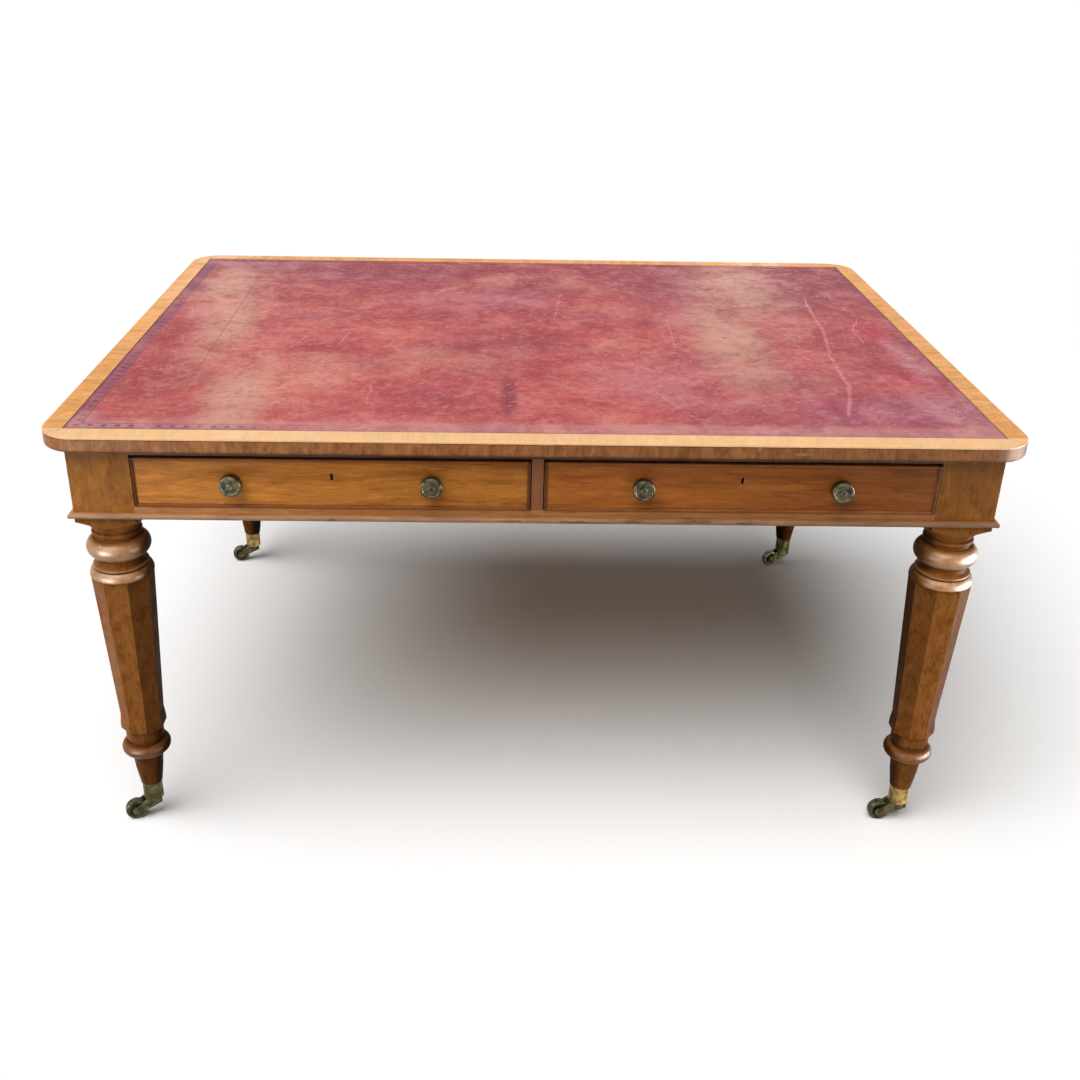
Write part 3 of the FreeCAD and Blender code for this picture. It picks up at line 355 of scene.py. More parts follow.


# Faded and rubbed patches of the leather and tan patches of painted sheen: tone, strength, raggedness and
# spots.
PATCHES = (
    (colour(134, 54, 72), 0.65, 1.8, on_leather((-0.30, 0.43, 0.26, 0.09), (0.02, 0.30, 0.12, 0.09),
                                                (0.30, 0.30, 0.13, 0.17), (0.56, 0.30, 0.11, 0.20),
                                                (0.43, -0.28, 0.12, 0.07))),
    (colour(152, 47, 49), 0.85, 1.5, on_leather((-0.64, -0.30, 0.10, 0.17), (0.01, -0.02, 0.12, 0.05))
     + pictured((170, 336, 0.05, 0.13), (136, 388, 0.06, 0.07), (298, 296, 0.07, 0.07),
                (320, 348, 0.07, 0.04))),
    (colour(180, 54, 68), 0.60, 1.4, pictured((873, 332, 0.05, 0.09), (916, 383, 0.05, 0.06))),
    (colour(206, 130, 112), 0.50, 1.8, on_leather((-0.40, -0.25, 0.12, 0.10), (0.17, -0.09, 0.08, 0.05))
     + pictured((436, 362, 0.11, 0.07), (498, 280, 0.07, 0.06), (570, 284, 0.08, 0.05))),
    # Tan patches of painted sheen: soft bands of mirrored light that run from the back to the front.
    (colour(202, 156, 132), 0.62, 0.5, on_leather((-0.63, 0.32, 0.07, 0.26), (-0.58, 0.02, 0.06, 0.26),
                                                  (-0.49, -0.40, 0.06, 0.20), (0.45, 0.33, 0.11, 0.28),
                                                  (0.38, -0.04, 0.08, 0.32))),
    (colour(188, 118, 128), 0.45, 1.6, on_leather((0.21, -0.29, 0.12, 0.12), (-0.12, 0.22, 0.16, 0.08))),
    (colour(146, 78, 104), 0.65, 1.2, on_leather((0.56, -0.43, 0.20, 0.10), (-0.56, 0.47, 0.14, 0.05))),
    (colour(200, 142, 150), 0.55, 1.0, on_leather((0.68, -0.40, 0.06, 0.11), (0.69, -0.16, 0.03, 0.14))),
)
SPILL = pictured((509, 397, 0.017, 0.12))
STAINS = pictured((335, 311, 0.007, 0.012), (286, 325, 0.008, 0.014), (442, 399, 0.008, 0.01),
                  (402, 427, 0.014, 0.012), (498, 427, 0.008, 0.01), (668, 428, 0.02, 0.012),
                  (548, 322, 0.008, 0.01), (483, 322, 0.008, 0.01), (584, 372, 0.009, 0.008))

# Scratches in the leather and lines drawn on it: width in metres and the pixels that they run through.
SCRATCHES = (
    (0.005, ((804, 298), (809, 309), (824, 332), (829, 354), (840, 373), (849, 386), (850, 401), (848, 416))),
    (0.002, ((666, 318), (675, 346), (688, 351))),
    (0.0015, ((793, 350), (820, 366))),
    (0.002, ((857, 319), (853, 330), (860, 339), (864, 343))),
    (0.0015, ((816, 290), (829, 294), (831, 301))),
    (0.0015, ((647, 386), (680, 408))),
    (0.002, ((291, 347), (307, 336))),
    (0.002, ((340, 341), (350, 332))),
    (0.0015, ((366, 404), (372, 384))),
    (0.0015, ((560, 296), (554, 320))),
    (0.0015, ((526, 324), (552, 318))),
    (0.0015, ((592, 346), (606, 364))),
    (0.0015, ((602, 343), (640, 335))),
)
DRAWN_LINES = (
    (0.0014, ((254, 285), (186, 386))),
    (0.0014, ((200, 397), (270, 397))),
)


def off_line(tree, here, width, start, end):
    """Distance to one straight line, counted in its width."""
    run = end - start
    local = tree.node("Mapping", {"Vector": here, "Location": (start + end) / 2,
                                  "Rotation": (0, 0, math.atan2(run.y, run.x))}, vector_type="TEXTURE")
    aside = tree.node("VectorMath", {0: local}, operation="ABSOLUTE")
    beyond = tree.vector("MAXIMUM", tree.vector("SUBTRACT", aside, (run.length / 2, 0, 0)), (0, 0, 0))
    return tree.math("DIVIDE", tree.length(beyond), width)


def near_line(tree, here, lines):
    """Distance to the nearest of some lines, counted in line widths."""
    return tree.fold("MINIMUM", [off_line(tree, here, width, under_pixel(*start), under_pixel(*end))
                                 for width, points in lines for start, end in zip(points, points[1:])])


# Ways in which the hair-thin scratches run: turn, thickets per metre and shift.
HAIR_WAYS = ((0.35, 6, 0.3), (1.2, 5, 2.1), (2.2, 7, 4.4), (2.8, 6, 6.7))
HAIR_COUNTS = (9.0, 190.0, 1.0)


def fine_marks(tree, here):
    """Thickets of hair-thin scratches where the leather was used most."""
    def one_way(turn, count, shift):
        local = tree.node("Mapping", {"Vector": here, "Rotation": (0, 0, turn),
                                      "Location": (shift, shift, 0)})
        drawn = tree.noise(tree.vector("MULTIPLY", local, HAIR_COUNTS), 1.0, 2, 0.5, 0.8)
        gate = tree.noise(local, count, 3, 0.6)
        return tree.math("MULTIPLY", tree.span(drawn, 0.66, 0.72), tree.span(gate, 0.52, 0.66))
    return tree.fold("MAXIMUM", [one_way(*way) for way in HAIR_WAYS])


# The tooled border, in metres from the leather's edge: its lines, its row of dabs, and where its tones end.
TOOLED_LINES = (0.005, 0.023)
LINE_BLUR = (0.0005, 0.0016)
DAB_STEP = 0.021
DAB_REACH = (0.003, 0.007)
BAND_END = (0.018, 0.031)
FADED_END = (0.025, 0.060)
FADED_FRONT = (-0.45, -0.50)
CLEAR_LEFT = (-0.68, -0.30)
WAVER = 0.015
RIM_END = (0.0008, 0.0035)


def tooling(tree, base, here, margin, ragged, half):
    """The tooled border: a mauve band with a row of dark dabs, clearest on the left."""
    clear = tree.span(tree.axis(here, "x"), *CLEAR_LEFT, 0.85, 0.20)
    wavering = tree.math("ADD", margin, tree.math("MULTIPLY", ragged, WAVER))
    band = tree.span(wavering, *BAND_END, 1.0, 0.0)
    worn = tree.math("MULTIPLY", band, tree.span(ragged, -0.15, 0.15, 0.5, 0.9))
    base = tree.mix(tree.math("MULTIPLY", worn, clear), base, colour(134, 76, 98))
    front = tree.span(tree.axis(here, "y"), *FADED_FRONT, 0.0, 0.5)
    faded = tree.math("MULTIPLY", tree.span(wavering, *FADED_END, 1.0, 0.0), front)
    faded = tree.math("MULTIPLY", faded, tree.span(ragged, 0.12, -0.12, 0.65, 1.0))
    base = tree.mix(faded, base, colour(210, 154, 148))
    along = tree.axis(along_strip(half.x, half.y)(tree, 0.0), "x")
    wave = tree.math("SINE", tree.math("MULTIPLY", along, 2 * math.pi / DAB_STEP))
    off_row = tree.math("ABSOLUTE", tree.math("SUBTRACT", margin, sum(TOOLED_LINES) / 2))
    rubbed = tree.math("MULTIPLY", clear, tree.span(ragged, -0.16, 0.02))
    dabs = tree.fold("MULTIPLY", [tree.span(wave, 0.0, 0.8), tree.span(off_row, *DAB_REACH, 1.0, 0.0),
                                  rubbed])
    base = tree.mix(dabs, base, colour(92, 48, 70))
    for line in TOOLED_LINES:
        away = tree.math("ABSOLUTE", tree.math("SUBTRACT", margin, line))
        pressed = tree.math("MULTIPLY", tree.span(away, *LINE_BLUR, 0.8, 0.0), rubbed)
        base = tree.mix(pressed, base, colour(96, 48, 66))
    return tree.mix(tree.span(margin, *RIM_END, 0.8, 0.0), base, colour(70, 26, 44))


def crinkles(tree, here, count, width):
    """Thin winding lines."""
    winding = tree.noise(here, count, 4, 0.6, 1.4)
    return tree.span(tree.math("ABSOLUTE", tree.math("SUBTRACT", winding, 0.5)), 0.0, width, 1.0, 0.0)


# Counts per metre of the leather's patterns, along x and y, and where its violet tone begins and is full.
CLOUDS, MOTTLE, STROKES, DASHES = (2.2, 3.2, 1.0), (15, 14, 1.0), (62, 72, 1.0), (70, 110, 1.0)
VIOLET_RIGHT, VIOLET_BACK = (0.25, 0.75), (0.05, 0.45)


def leather_tone(tree, here, margin, half):
    """Colour of the leather: red, pink and mauve clouds, faded patches, a painted sheen, stains and a tooled
    border.
    """
    x, y = tree.axis(here, "x"), tree.axis(here, "y")
    clouds = tree.noise(tree.vector("MULTIPLY", here, CLOUDS), 1.6, 6, 0.62, 0.4)
    mottle = tree.noise(tree.vector("MULTIPLY", here, MOTTLE), 1.0, 6, 0.66, 0.6)
    strokes = tree.noise(tree.vector("MULTIPLY", here, STROKES), 1.0, 6, 0.70, 0.9)
    ragged = tree.math("SUBTRACT", mottle, 0.5)
    base = tree.ramp(clouds, (0.34, colour(152, 64, 76)), (0.46, colour(176, 76, 79)),
                     (0.56, colour(190, 88, 85)), (0.68, colour(200, 108, 96)))
    violet = tree.math("ADD", tree.span(x, *VIOLET_RIGHT, 0.0, 0.40), tree.span(y, *VIOLET_BACK, 0.0, 0.68))
    violet = tree.math("MULTIPLY", violet, tree.span(mottle, 0.3, 0.6, 0.5, 1.0))
    base = tree.mix(violet, base, colour(134, 50, 66))
    # Faded patches and the painted sheen.
    for tone, share, roughly, spots in PATCHES:
        away = tree.math("ADD", near(tree, here, spots), tree.math("MULTIPLY", ragged, roughly))
        base = tree.mix(tree.span(away, 0.2, 1.4, share, 0.0), base, tone)
    base = tree.mix(tree.span(mottle, 0.50, 0.70, 0.0, 0.45), base, colour(140, 50, 64))
    base = tree.mix(tree.span(mottle, 0.50, 0.32, 0.0, 0.28), base, colour(208, 130, 122))
    base = tree.mix(tree.span(strokes, 0.50, 0.66, 0.0, 0.45), base, colour(130, 50, 62))
    base = tree.mix(tree.span(strokes, 0.50, 0.36, 0.0, 0.32), base, colour(218, 148, 140))
    pale = tree.math("MULTIPLY", crinkles(tree, here, 34, 0.012), tree.span(mottle, 0.55, 0.40, 0.0, 0.35))
    base = tree.mix(pale, base, colour(226, 166, 160))
    dark = tree.math("MULTIPLY", crinkles(tree, here, 21, 0.010), tree.span(mottle, 0.42, 0.58, 0.0, 0.55))
    base = tree.mix(dark, base, colour(108, 38, 54))
    blots = tree.noise(here, 11, 5, 0.7, 0.8)
    base = tree.mix(tree.span(blots, 0.62, 0.76, 0.0, 0.4), base, colour(114, 42, 66))
    dashes = tree.noise(tree.vector("MULTIPLY", here, DASHES), 1.0, 5, 0.7, 1.2)
    smear = tree.fold("MULTIPLY", [tree.span(near(tree, here, SPILL), 0.3, 1.2, 1.0, 0.0),
                                   tree.span(dashes, 0.38, 0.54), 0.75])
    base = tree.mix(smear, base, colour(84, 26, 44))
    blotchy = tree.math("MULTIPLY", tree.math("SUBTRACT", strokes, 0.5), 5.0)
    spotted = tree.span(tree.math("ADD", near(tree, here, STAINS), blotchy), 0.2, 1.5, 0.45, 0.0)
    base = tree.mix(spotted, base, colour(92, 30, 54))
    drawn = near_line(tree, tree.waved(here, 20, 0.001), DRAWN_LINES)
    base = tree.mix(tree.span(drawn, 0.4, 1.0, 0.65, 0.0), base, colour(112, 56, 64))
    return tooling(tree, base, here, margin, ragged, half), mottle, strokes


def leather_material():
    """Worn red leather with a tooled border and scratches."""
    tree = Tree("worn_red_leather")
    here = tree.place()
    half = (LEATHER_HIGH - LEATHER_LOW) / 2
    margin = tree.fold("MINIMUM", margins(tree, half.x, half.y))
    base, mottle, strokes = leather_tone(tree, here, margin, half)
    hairs = fine_marks(tree, here)
    base = tree.mix(tree.math("MULTIPLY", hairs, 0.40), base, colour(222, 162, 158))
    scratches = tree.span(near_line(tree, tree.waved(here, 30, 0.008), SCRATCHES), 0.2, 1.0, 0.6, 0.0)
    scratches = tree.math("MULTIPLY", scratches, tree.span(strokes, 0.62, 0.42, 0.35, 1.0))
    base = tree.mix(scratches, base, colour(222, 154, 158))
    scored = tree.math("MAXIMUM", scratches, tree.math("MULTIPLY", hairs, 0.5))
    gloss = tree.math("ADD", tree.span(mottle, 0.3, 0.7, 0.46, 0.60), tree.math("MULTIPLY", scored, 0.2))
    pebble = tree.node("TexVoronoi", {"Vector": here, "Scale": 700.0}, "Distance")
    height = tree.math("SUBTRACT", tree.math("ADD", tree.math("MULTIPLY", pebble, 0.5), strokes), scored)
    return tree.surface(base_color=base, roughness=gloss, normal=tree.relief(height, 0.3, LEATHER_RELIEF),
                        specular_ior_level=0.15)


# The sheet's relief in metres: half width and depth of its tooled lines, its rolled edge and its grid.
TOOL_HALF = 0.0011
TOOL_DEPTH = 0.0005
EDGE_ROLL = 0.0015
SHEET_STEP = 0.014


def leather_stations(low, high):
    """Places of the sheet's grid lines along one side: close at the edge and at the tooled lines."""
    offsets = [0.0, EDGE_ROLL / 3, EDGE_ROLL]
    for line in TOOLED_LINES:
        offsets += [line - TOOL_HALF, line, line + TOOL_HALF]
    inner = offsets[-1]
    count = math.ceil((high - low - 2 * inner) / SHEET_STEP)
    step = (high - low - 2 * inner) / count
    middle = [low + inner + step * index for index in range(1, count)]
    return [low + offset for offset in offsets] + middle + [high - offset for offset in reversed(offsets)]


def leather_height(margin):
    """Height of the sheet at a distance from its edge: rolled at the edge, pressed in at the tooled lines."""
    drop = TOOL_DEPTH if any(abs(margin - line) < TOOL_HALF / 2 for line in TOOLED_LINES) else 0.0
    roll = EDGE_ROLL / 3 * max(0.0, 1.0 - margin / EDGE_ROLL) ** 2
    return LEATHER_TOP - drop - roll


def leather_sheet():
    """The writing leather as one closed sheet with its tooled border."""
    xs = leather_stations(LEATHER_LOW.x, LEATHER_HIGH.x)
    ys = leather_stations(LEATHER_LOW.y, LEATHER_HIGH.y)
    points, faces = [], []
    for y in ys:
        for x in xs:
            margin = min(x - xs[0], xs[-1] - x, y - ys[0], ys[-1] - y)
            points.append((x, y, leather_height(margin)))
    wide, deep = len(xs), len(ys)
    for row in range(deep - 1):
        for column in range(wide - 1):
            first = row * wide + column
            faces.append((first, first + 1, first + wide + 1, first + wide))
    rim = list(range(wide)) + [row * wide + wide - 1 for row in range(1, deep)]
    rim += [(deep - 1) * wide + column for column in range(wide - 2, -1, -1)]
    rim += [row * wide for row in range(deep - 2, 0, -1)]
    first_low = len(points)
    points += [(points[index][0], points[index][1], LEATHER_LOW.z) for index in rim]
    for step in range(len(rim)):
        after = (step + 1) % len(rim)
        faces.append((rim[after], rim[step], first_low + step, first_low + after))
    faces.append(tuple(range(len(points) - 1, first_low - 1, -1)))
    mesh = bpy.data.meshes.new("writing_leather")
    mesh.from_pydata(points, [], faces)
    mesh.update()
    for face in mesh.polygons[:(wide - 1) * (deep - 1)]:
        face.use_smooth = True
    piece = bpy.data.objects.new("writing_leather", mesh)
    bpy.context.scene.collection.objects.link(piece)
    mesh.materials.append(leather_material())
    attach(piece, "table")
    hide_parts("leather_skiver")


def dress(material, *names):
    """Give CAD nodes a finished material."""
    for name in names:
        mesh = nodes[name].data
        mesh.materials.clear()
        mesh.materials.append(material)


# How softly the border's paler front begins and its mitre lines end, in metres.
FRONT_BLUR = 0.002
MITRE_BLUR = (0.0004, 0.0014)


def strip_wear(tree, base, half_x, half_y):
    """Wear of the border: a paler front strip and dark lines in the mitres."""
    from_end, from_front = margins(tree, half_x, half_y)
    off_mitre = tree.math("ABSOLUTE", tree.math("SUBTRACT", from_end, from_front))
    y = tree.axis(tree.place(), "y")
    front = tree.span(y, LEATHER_LOW.y + FRONT_BLUR, LEATHER_LOW.y, 0.0, 0.55)
    base = tree.mix(front, base, colour(250, 210, 162))
    return tree.mix(tree.span(off_mitre, *MITRE_BLUR, 0.6, 0.0), base, colour(110, 48, 26))


# Chips of the top's front edge and bruises of the frieze's foot: place along the front, height, half sizes.
CHIPS = ((0.010, 0.7585, 0.012, 0.0025), (0.335, 0.7560, 0.004, 0.0060), (0.400, 0.7470, 0.014, 0.0025))
BRUISES = ((0.060, 0.004, 0.030), (0.150, 0.006, 0.022), (0.250, 0.007, 0.034), (0.330, 0.005, 0.016),
           (-0.320, 0.004, 0.012), (-0.040, 0.005, 0.016))
BRUISE_HALF = 0.0028
SEAM_BLUR = (0.0005, 0.0020)
# Height of the painted shade along the top board's lower edge.
SHADED_LOWER_EDGE = 0.007


def edge_wear_and_shade(tree, base):
    """The top's edge: a dark seam under the border, a few chips, painted shade at its foot and towards the
    right.
    """
    strip_low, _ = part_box("crossband_border")
    board_low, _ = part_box("top_board")
    z = tree.axis(tree.place(), "z")
    off_seam = tree.math("ABSOLUTE", tree.math("SUBTRACT", z, strip_low.z))
    base = tree.mix(tree.span(off_seam, *SEAM_BLUR, 0.75, 0.0), base, GRIME_AND_SHADE)
    # Painted shade along the edge's foot.
    base = tree.mix(tree.span(z, board_low.z, board_low.z + SHADED_LOWER_EDGE, 0.55, 0.0), base, GRIME_AND_SHADE)
    chips = [((x, board_low.y, up), (half_x, 1, half_z)) for x, up, half_x, half_z in CHIPS]
    # Pale chips, and painted shade towards the right.
    return painted_shade_to_right(tree, marked(tree, base, colour(206, 172, 134), 0.45, chips))


def bruised_and_shaded(tree, base):
    """Dark bruises along the foot of the front, more right of the middle, and painted shade to the right."""
    low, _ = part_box("front_bottom_rail")
    spots = [((x, low.y, low.z + up), (half_x, 1, BRUISE_HALF)) for x, up, half_x in BRUISES]
    # Painted shade towards the right over the bruised colour.
    return painted_shade_to_right(tree, marked(tree, base, colour(66, 34, 20), 0.5, spots), 0.45)


# Turned rings of a leg, in metres: where the head's begin and end and the ankle's end, and their radii.
HEAD_START, HEAD_END, ANKLE_END = (0.498, 0.504), (0.570, 0.576), (0.180, 0.190)
HEAD_RADIUS, ANKLE_RADIUS = (0.040, 0.048), (0.034, 0.040)
# Heights between which a leg's finish changes from foot to head, and from shaft to foot.
FOOT_TO_HEAD = (0.2, 0.5)
SHAFT_TO_FOOT = (0.24, 0.13)


def turned_rings(tree, centre):
    """1 on the thick turned rings of a leg, 0 elsewhere."""
    here = tree.place()
    z = tree.axis(here, "z")
    radius = tree.length(tree.vector("MULTIPLY", tree.vector("SUBTRACT", here, centre), (1, 1, 0)))
    head = tree.fold("MULTIPLY", [tree.span(radius, *HEAD_RADIUS), tree.span(z, *HEAD_START),
                                  tree.span(z, *HEAD_END, 1.0, 0.0)])
    ankle = tree.math("MULTIPLY", tree.span(radius, *ANKLE_RADIUS), tree.span(z, *ANKLE_END, 1.0, 0.0))
    return tree.math("MAXIMUM", head, ankle)


def facing_middle(tree, centre, low, high, start, stop):
    """A number that goes from start to stop as a leg's surface turns to the table's middle."""
    inward = Vector((-math.copysign(1, centre.x), -math.copysign(0.3, centre.y), 0)).normalized()
    normal = tree.node("NewGeometry", {}, "Normal")
    facing = tree.node("VectorMath", {0: normal, 1: inward}, "Value", operation="DOT_PRODUCT")
    return tree.span(facing, low, high, start, stop)


def turned_wear_and_painted_light(centre):
    """One turned leg: rings rubbed paler and partly a painted highlight, a dark foot, painted shade on its
    inner side.
    """
    def worn_and_shaded_leg(tree, base):
        z = tree.axis(tree.place(), "z")
        mottled = tree.span(tree.noise(tree.place(), 70, 5, 0.7, 0.8), 0.38, 0.62, 0.25, 1.0)
        rubbed = tree.math("MULTIPLY", turned_rings(tree, centre), tree.span(z, *FOOT_TO_HEAD, 0.0, 0.60))
        # Rings rubbed paler, partly a painted highlight.
        base = tree.mix(tree.math("MULTIPLY", rubbed, mottled), base, colour(204, 150, 88))
        base = shaded(tree, base, 0.70 if centre.x < 0 else 0.45, *SHAFT_TO_FOOT, "z")
        # Painted shade on the side that faces the table's middle.
        return tree.mix(facing_middle(tree, centre, 0.1, 0.8, 0.0, 0.85), base, GRIME_AND_SHADE)
    return worn_and_shaded_leg


def turned_shine(centre):
    """Polish of one turned leg: its rings are rubbed bright on the outer side."""
    def polished(tree):
        outer = facing_middle(tree, centre, 0.1, 0.7, 1.0, 0.0)
        rubbed = tree.math("MULTIPLY", turned_rings(tree, centre), outer)
        by_height = tree.span(tree.axis(tree.place(), "z"), *FOOT_TO_HEAD, 0.28, 0.85)
        return tree.math("ADD", tree.math("MULTIPLY", rubbed, by_height),
                         facing_middle(tree, centre, -0.9, -0.3, 0.04, 0.012))
    return polished


def dress_frame():
    """Woods of the top, the frieze, the legs and the inner frame."""
    _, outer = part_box("crossband_border")
    border = along_strip(outer.x, outer.y)
    _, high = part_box("frieze_bead")
    bead = along_strip(high.x, high.y)

    dress(wood("top_edge_wood", (172, 112, 64), "z", 0.3, streak=130, contrast=0.6, figure=0.9, long=30,
               wide=60, shine=0.1, finish=edge_wear_and_shade), "top_board")
    dress(wood("border_wood", (230, 158, 80), "y", 0.7, streak=90, contrast=0.6, figure=0.5, long=25, wide=60,
               fleck=0.2, rub=0.8, worn=colour(250, 216, 172), source=border,
               finish=lambda tree, base: strip_wear(tree, base, outer.x, outer.y)), "crossband_border")
    # The posts darken from left to right as painted shade.
    dress(wood("post_wood", (170, 106, 38), "z", 1.1, contrast=0.35, figure=0.95, long=26, wide=52,
               shine=0.06, finish=painted_shade_to_right), "corner_posts")
    dress(wood("apron_wood", (164, 106, 50), "y", 1.9, shine=0.06), "left_apron", "right_apron")
    dress(wood("rail_wood", (200, 132, 66), "x", 2.3, finish=bruised_and_shaded),
          "front_bottom_rail", "back_bottom_rail")
    # The top rails are dark as painted shade, the shadow under the top's overhang.
    dress(wood("painted_shade_top_rail_wood", (64, 38, 22), "x", 2.6), "front_top_rail", "back_top_rail")
    dress(wood("muntin_wood", (144, 88, 50), "z", 2.9), "muntins")
    dress(wood("bead_wood", (178, 132, 94), "x", 3.1, rub=0.8, source=bead, finish=bruised_and_shaded), "frieze_bead")
    for index, (end, side) in enumerate(CORNERS):
        low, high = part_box(f"{end}_{side}_leg")
        centre = (low + high) / 2
        dress(wood(f"leg_wood_{index}", (153, 96, 45), "z", 4.0 + index, streak=34, contrast=0.35, figure=0.7,
                   long=40, wide=70, fleck=0.9, polish=0.38, shine=turned_shine(centre), rub=0.25, hollow_darkening=0.65,
                   finish=turned_wear_and_painted_light(centre)), f"{end}_{side}_leg")
    inner = (156, 116, 70)
    dress(plain_wood("beam_wood", inner, "x", 5.1), "centre_beam")
    dress(plain_wood("runner_wood", inner, "y", 5.7), "drawer_runners", "drawer_guides", "drawer_kickers",
          "glue_blocks")
    dress(plain_wood("stop_wood", inner, "x", 6.1), "drawer_stops")


def bead_sides_and_shade(tree, base):
    """Drawers' beads: dark at the sides, darker and redder below as painted shade, so the top stays paler as
    if lit.
    """
    low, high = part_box("front_right_drawer_cockbead")
    middle, half = (low + high) / 2, (high - low) / 2
    here = tree.place()
    aside = tree.math("SUBTRACT", tree.math("ABSOLUTE", tree.axis(here, "x")), middle.x)
    margin = tree.math("SUBTRACT", half.x, tree.math("ABSOLUTE", aside))
    up = tree.math("SUBTRACT", tree.axis(here, "z"), middle.z)
    # Painted shade: darker and redder below the bead's middle.
    base = tree.mix(tree.span(up, 0.0, -half.z, 0.0, 0.45), base, colour(96, 44, 24))
    return tree.mix(tree.span(margin, 0.004, 0.006, 0.75, 0.0), base, colour(70, 34, 18))


def dress_drawers():
    """Fronts, linings and metalwork of the drawers."""
    # The knobs' rubbed colour is partly a painted highlight.
    knob = metal("knob_brass", colour(92, 86, 64), colour(46, 45, 36), colour(14, 15, 12), 0.30, 0.2,
                 rubbed=colour(178, 168, 138))
    lock = metal("lock_brass", colour(190, 160, 90), colour(140, 116, 64), colour(60, 52, 32), 0.4, 0.6)
    bolt = metal("bolt_steel", colour(150, 148, 144), colour(110, 108, 104), colour(60, 56, 50), 0.45, 0.9)
    cockbead = wood("cockbead_wood", (172, 108, 56), "x", 7.3, shine=0.04, rub=0.35, finish=bead_sides_and_shade)
    side_lining = plain_wood("lining_wood", (168, 130, 82), "y", 8.2)
    bottom_lining = plain_wood("bottom_wood", (162, 124, 78), "x", 8.8)
    for index, (end, side) in enumerate(CORNERS):
        drawer = f"{end}_{side}_drawer"
        low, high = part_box(drawer + "_face")
        redder = (end, side) in (("front", "right"), ("back", "left"))

        # Each drawer face: painted shade towards its right end, dirt and painted shade along its edges.
        def aged_and_shaded(tree, base, name=drawer + "_face", ends=(low.x, high.x)):
            return seam_dirt_and_shade(tree, shaded(tree, base, 0.45, *ends), name, "xz", SEAM_REACH)

        dress(wood(f"drawer_wood_{index}", (174, 100, 40) if redder else (218, 138, 56), "x", 9.0 + index,
                   streak=46, contrast=0.6, figure=0.8, long=12, wide=85, fleck=0.45, polish=0.36,
                   shine=0.09, finish=aged_and_shaded), drawer + "_face")
        dress(cockbead, drawer + "_cockbead")
        dress(side_lining, drawer + "_box")
        dress(bottom_lining, drawer + "_bottom")
        dress(knob, drawer + "_knobs")
        dress(lock, drawer + "_lock")
        dress(bolt, drawer + "_bolt")


def dress_castors():
    """Brass of the castors and the steel of the screws."""
    cup = metal("cup_brass", colour(104, 98, 60), colour(60, 57, 36), colour(21, 23, 15), 0.36, 1.4,
                other=colour(176, 144, 82))
    horn = metal("horn_brass", colour(100, 94, 60), colour(50, 50, 34), colour(16, 18, 12), 0.36, 1.6)
    wheel = metal("castor_wheel", colour(90, 86, 62), colour(42, 42, 32), colour(14, 15, 11), 0.42, 1.8)
    dress(cup, "castor_cups")
    dress(horn, *(f"{end}_{side}_castor_horn" for end, side in CORNERS))
    dress(wheel, *(f"{end}_{side}_castor_wheel" for end, side in CORNERS))
    dress(metal("screw_steel", colour(150, 148, 144), colour(96, 94, 90), colour(60, 46, 34), 0.5, 2.2),
          "top_screws")


def photo_camera():
    """The camera at the photograph's place and framing."""
    data = bpy.data.cameras.new("photo_camera")
    data.sensor_width = SENSOR_MM
    data.lens = FOCAL_PX / PICTURE * SENSOR_MM
    data.shift_x = (PICTURE / 2 - AXIS_PX[0]) / PICTURE
    data.shift_y = (AXIS_PX[1] - PICTURE / 2) / PICTURE
    camera = bpy.data.objects.new("photo_camera", data)
    camera.matrix_world = Matrix.Translation(EYE) @ CAMERA_AXES.to_4x4()
    bpy.context.scene.collection.objects.link(camera)
    bpy.context.scene.camera = camera


def soft_box(name, place, target, width, height, power, tint, mirrored):
    """A soft lamp, which only polished surfaces mirror or which lights all of them."""
    data = bpy.data.lights.new(name, "AREA")
    data.shape = "RECTANGLE"
    data.size, data.size_y = width, height
    data.energy = power
    data.color = tint
    lamp = bpy.data.objects.new(name, data)
    lamp.visible_diffuse = not mirrored
    direction = Vector(target) - Vector(place)
    lamp.matrix_world = Matrix.Translation(place) @ direction.to_track_quat("-Z", "Y").to_matrix().to_4x4()
    bpy.context.scene.collection.objects.link(lamp)


def seen_rays(nodes, links):
    """1 for the rays in which a surface is seen, directly, mirrored or through glass, and 0 for the rest."""
    path = nodes.new("ShaderNodeLightPath")
    total = path.outputs["Is Camera Ray"]
    for name in ("Is Glossy Ray", "Is Transmission Ray"):
        both = nodes.new("ShaderNodeMath")
        both.operation = "MAXIMUM"
        links.new(total, both.inputs[0])
        links.new(path.outputs[name], both.inputs[1])
        total = both.outputs[0]
    return total


# Light levels: 1 would show a surface in the colour that it is written in.
AROUND = 0.07
SUN_POWER = 3.4
SUN_FROM = Vector((-0.36, -0.42, 1.0))
SUN_SPREAD = math.radians(60)
FLOOR_SIZE = 400
FLOOR_SEEN = (1, 1, 1, 1)
FLOOR_BOUNCE = (0.58, 0.58, 0.58, 1)
WARM = (1.0, 0.87, 0.72)
PALE = (1.0, 0.93, 0.83)
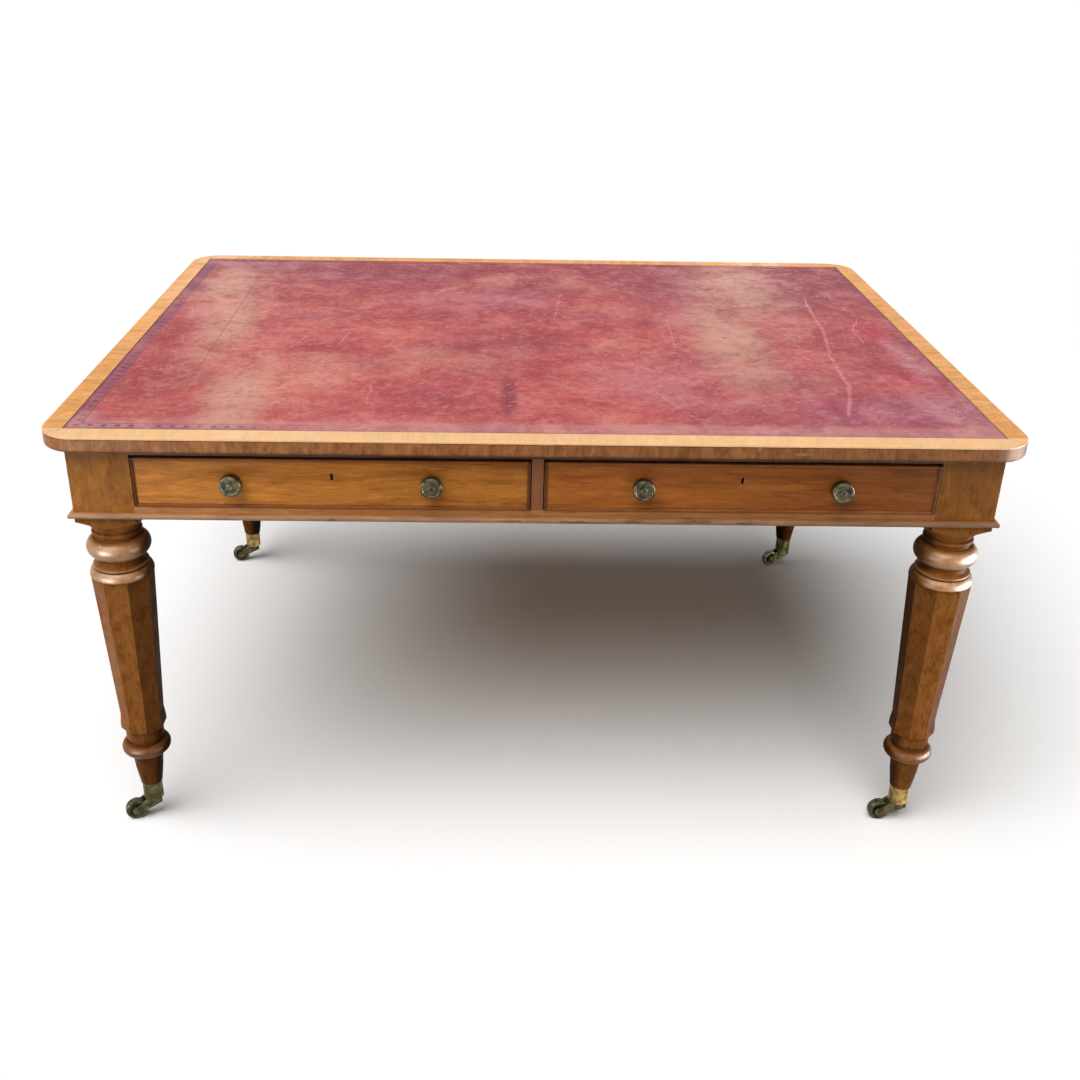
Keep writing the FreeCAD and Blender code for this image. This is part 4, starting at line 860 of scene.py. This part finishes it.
# Soft lamps: name, place, target, width, height, power, tint and whether only polished surfaces mirror them.
SOFT_BOXES = (
    ("left_sheen", (-1.1, 2.4, 1.55), (-0.5, 0, 0.76), 0.26, 0.6, 2.6, WARM, True),
    ("right_sheen", (0.91, 2.4, 1.36), (0.45, 0.2, 0.76), 0.24, 0.36, 1.8, WARM, True),
    ("left_glint", (-1.35, -1.55, 0.5), (0.0, -0.5, 0.5), 0.9, 0.7, 32, PALE, True),
    ("right_glint", (1.85, -0.85, 0.45), (0.7, -0.5, 0.45), 1.3, 0.8, 110, PALE, True),
    ("right_fill", (2.3, -0.7, 0.4), (0.7, -0.5, 0.4), 0.8, 0.5, 4, WARM, False),
)


def white_room():
    """White surroundings that light the object only a little."""
    world = bpy.data.worlds.new("white_room")
    world.use_nodes = True
    bpy.context.scene.world = world
    tree = world.node_tree
    tree.nodes["Background"].inputs["Color"].default_value = (1, 1, 1, 1)
    strength = tree.nodes.new("ShaderNodeMapRange")
    strength.inputs["To Min"].default_value = AROUND
    tree.links.new(seen_rays(tree.nodes, tree.links), strength.inputs["Value"])
    tree.links.new(strength.outputs[0], tree.nodes["Background"].inputs["Strength"])


def pale_floor():
    """A plain floor that takes the object's shadow."""
    half = FLOOR_SIZE / 2
    mesh = bpy.data.meshes.new("floor")
    corners = [(-half, -half, 0), (half, -half, 0), (half, half, 0), (-half, half, 0)]
    mesh.from_pydata(corners, [], [(0, 1, 2, 3)])
    floor = bpy.data.objects.new("floor", mesh)
    bpy.context.scene.collection.objects.link(floor)
    paper = Tree("white_floor")
    seen = seen_rays(paper.nodes, paper.links)
    mesh.materials.append(paper.surface(base_color=paper.mix(seen, FLOOR_BOUNCE, FLOOR_SEEN), roughness=0.95,
                                        specular_ior_level=0.0))


def lamps():
    """One broad light from the left, a weak fill and the lamps that the polish mirrors."""
    data = bpy.data.lights.new("window", "SUN")
    data.energy = SUN_POWER
    data.angle = SUN_SPREAD
    sun = bpy.data.objects.new("window", data)
    sun.matrix_world = (-SUN_FROM).to_track_quat("-Z", "Y").to_matrix().to_4x4()
    bpy.context.scene.collection.objects.link(sun)
    for soft in SOFT_BOXES:
        soft_box(*soft)


bpy.context.scene.view_settings.view_transform = "Standard"
leather_sheet()
dress_frame()
dress_drawers()
dress_castors()
photo_camera()
white_room()
pale_floor()
lamps()
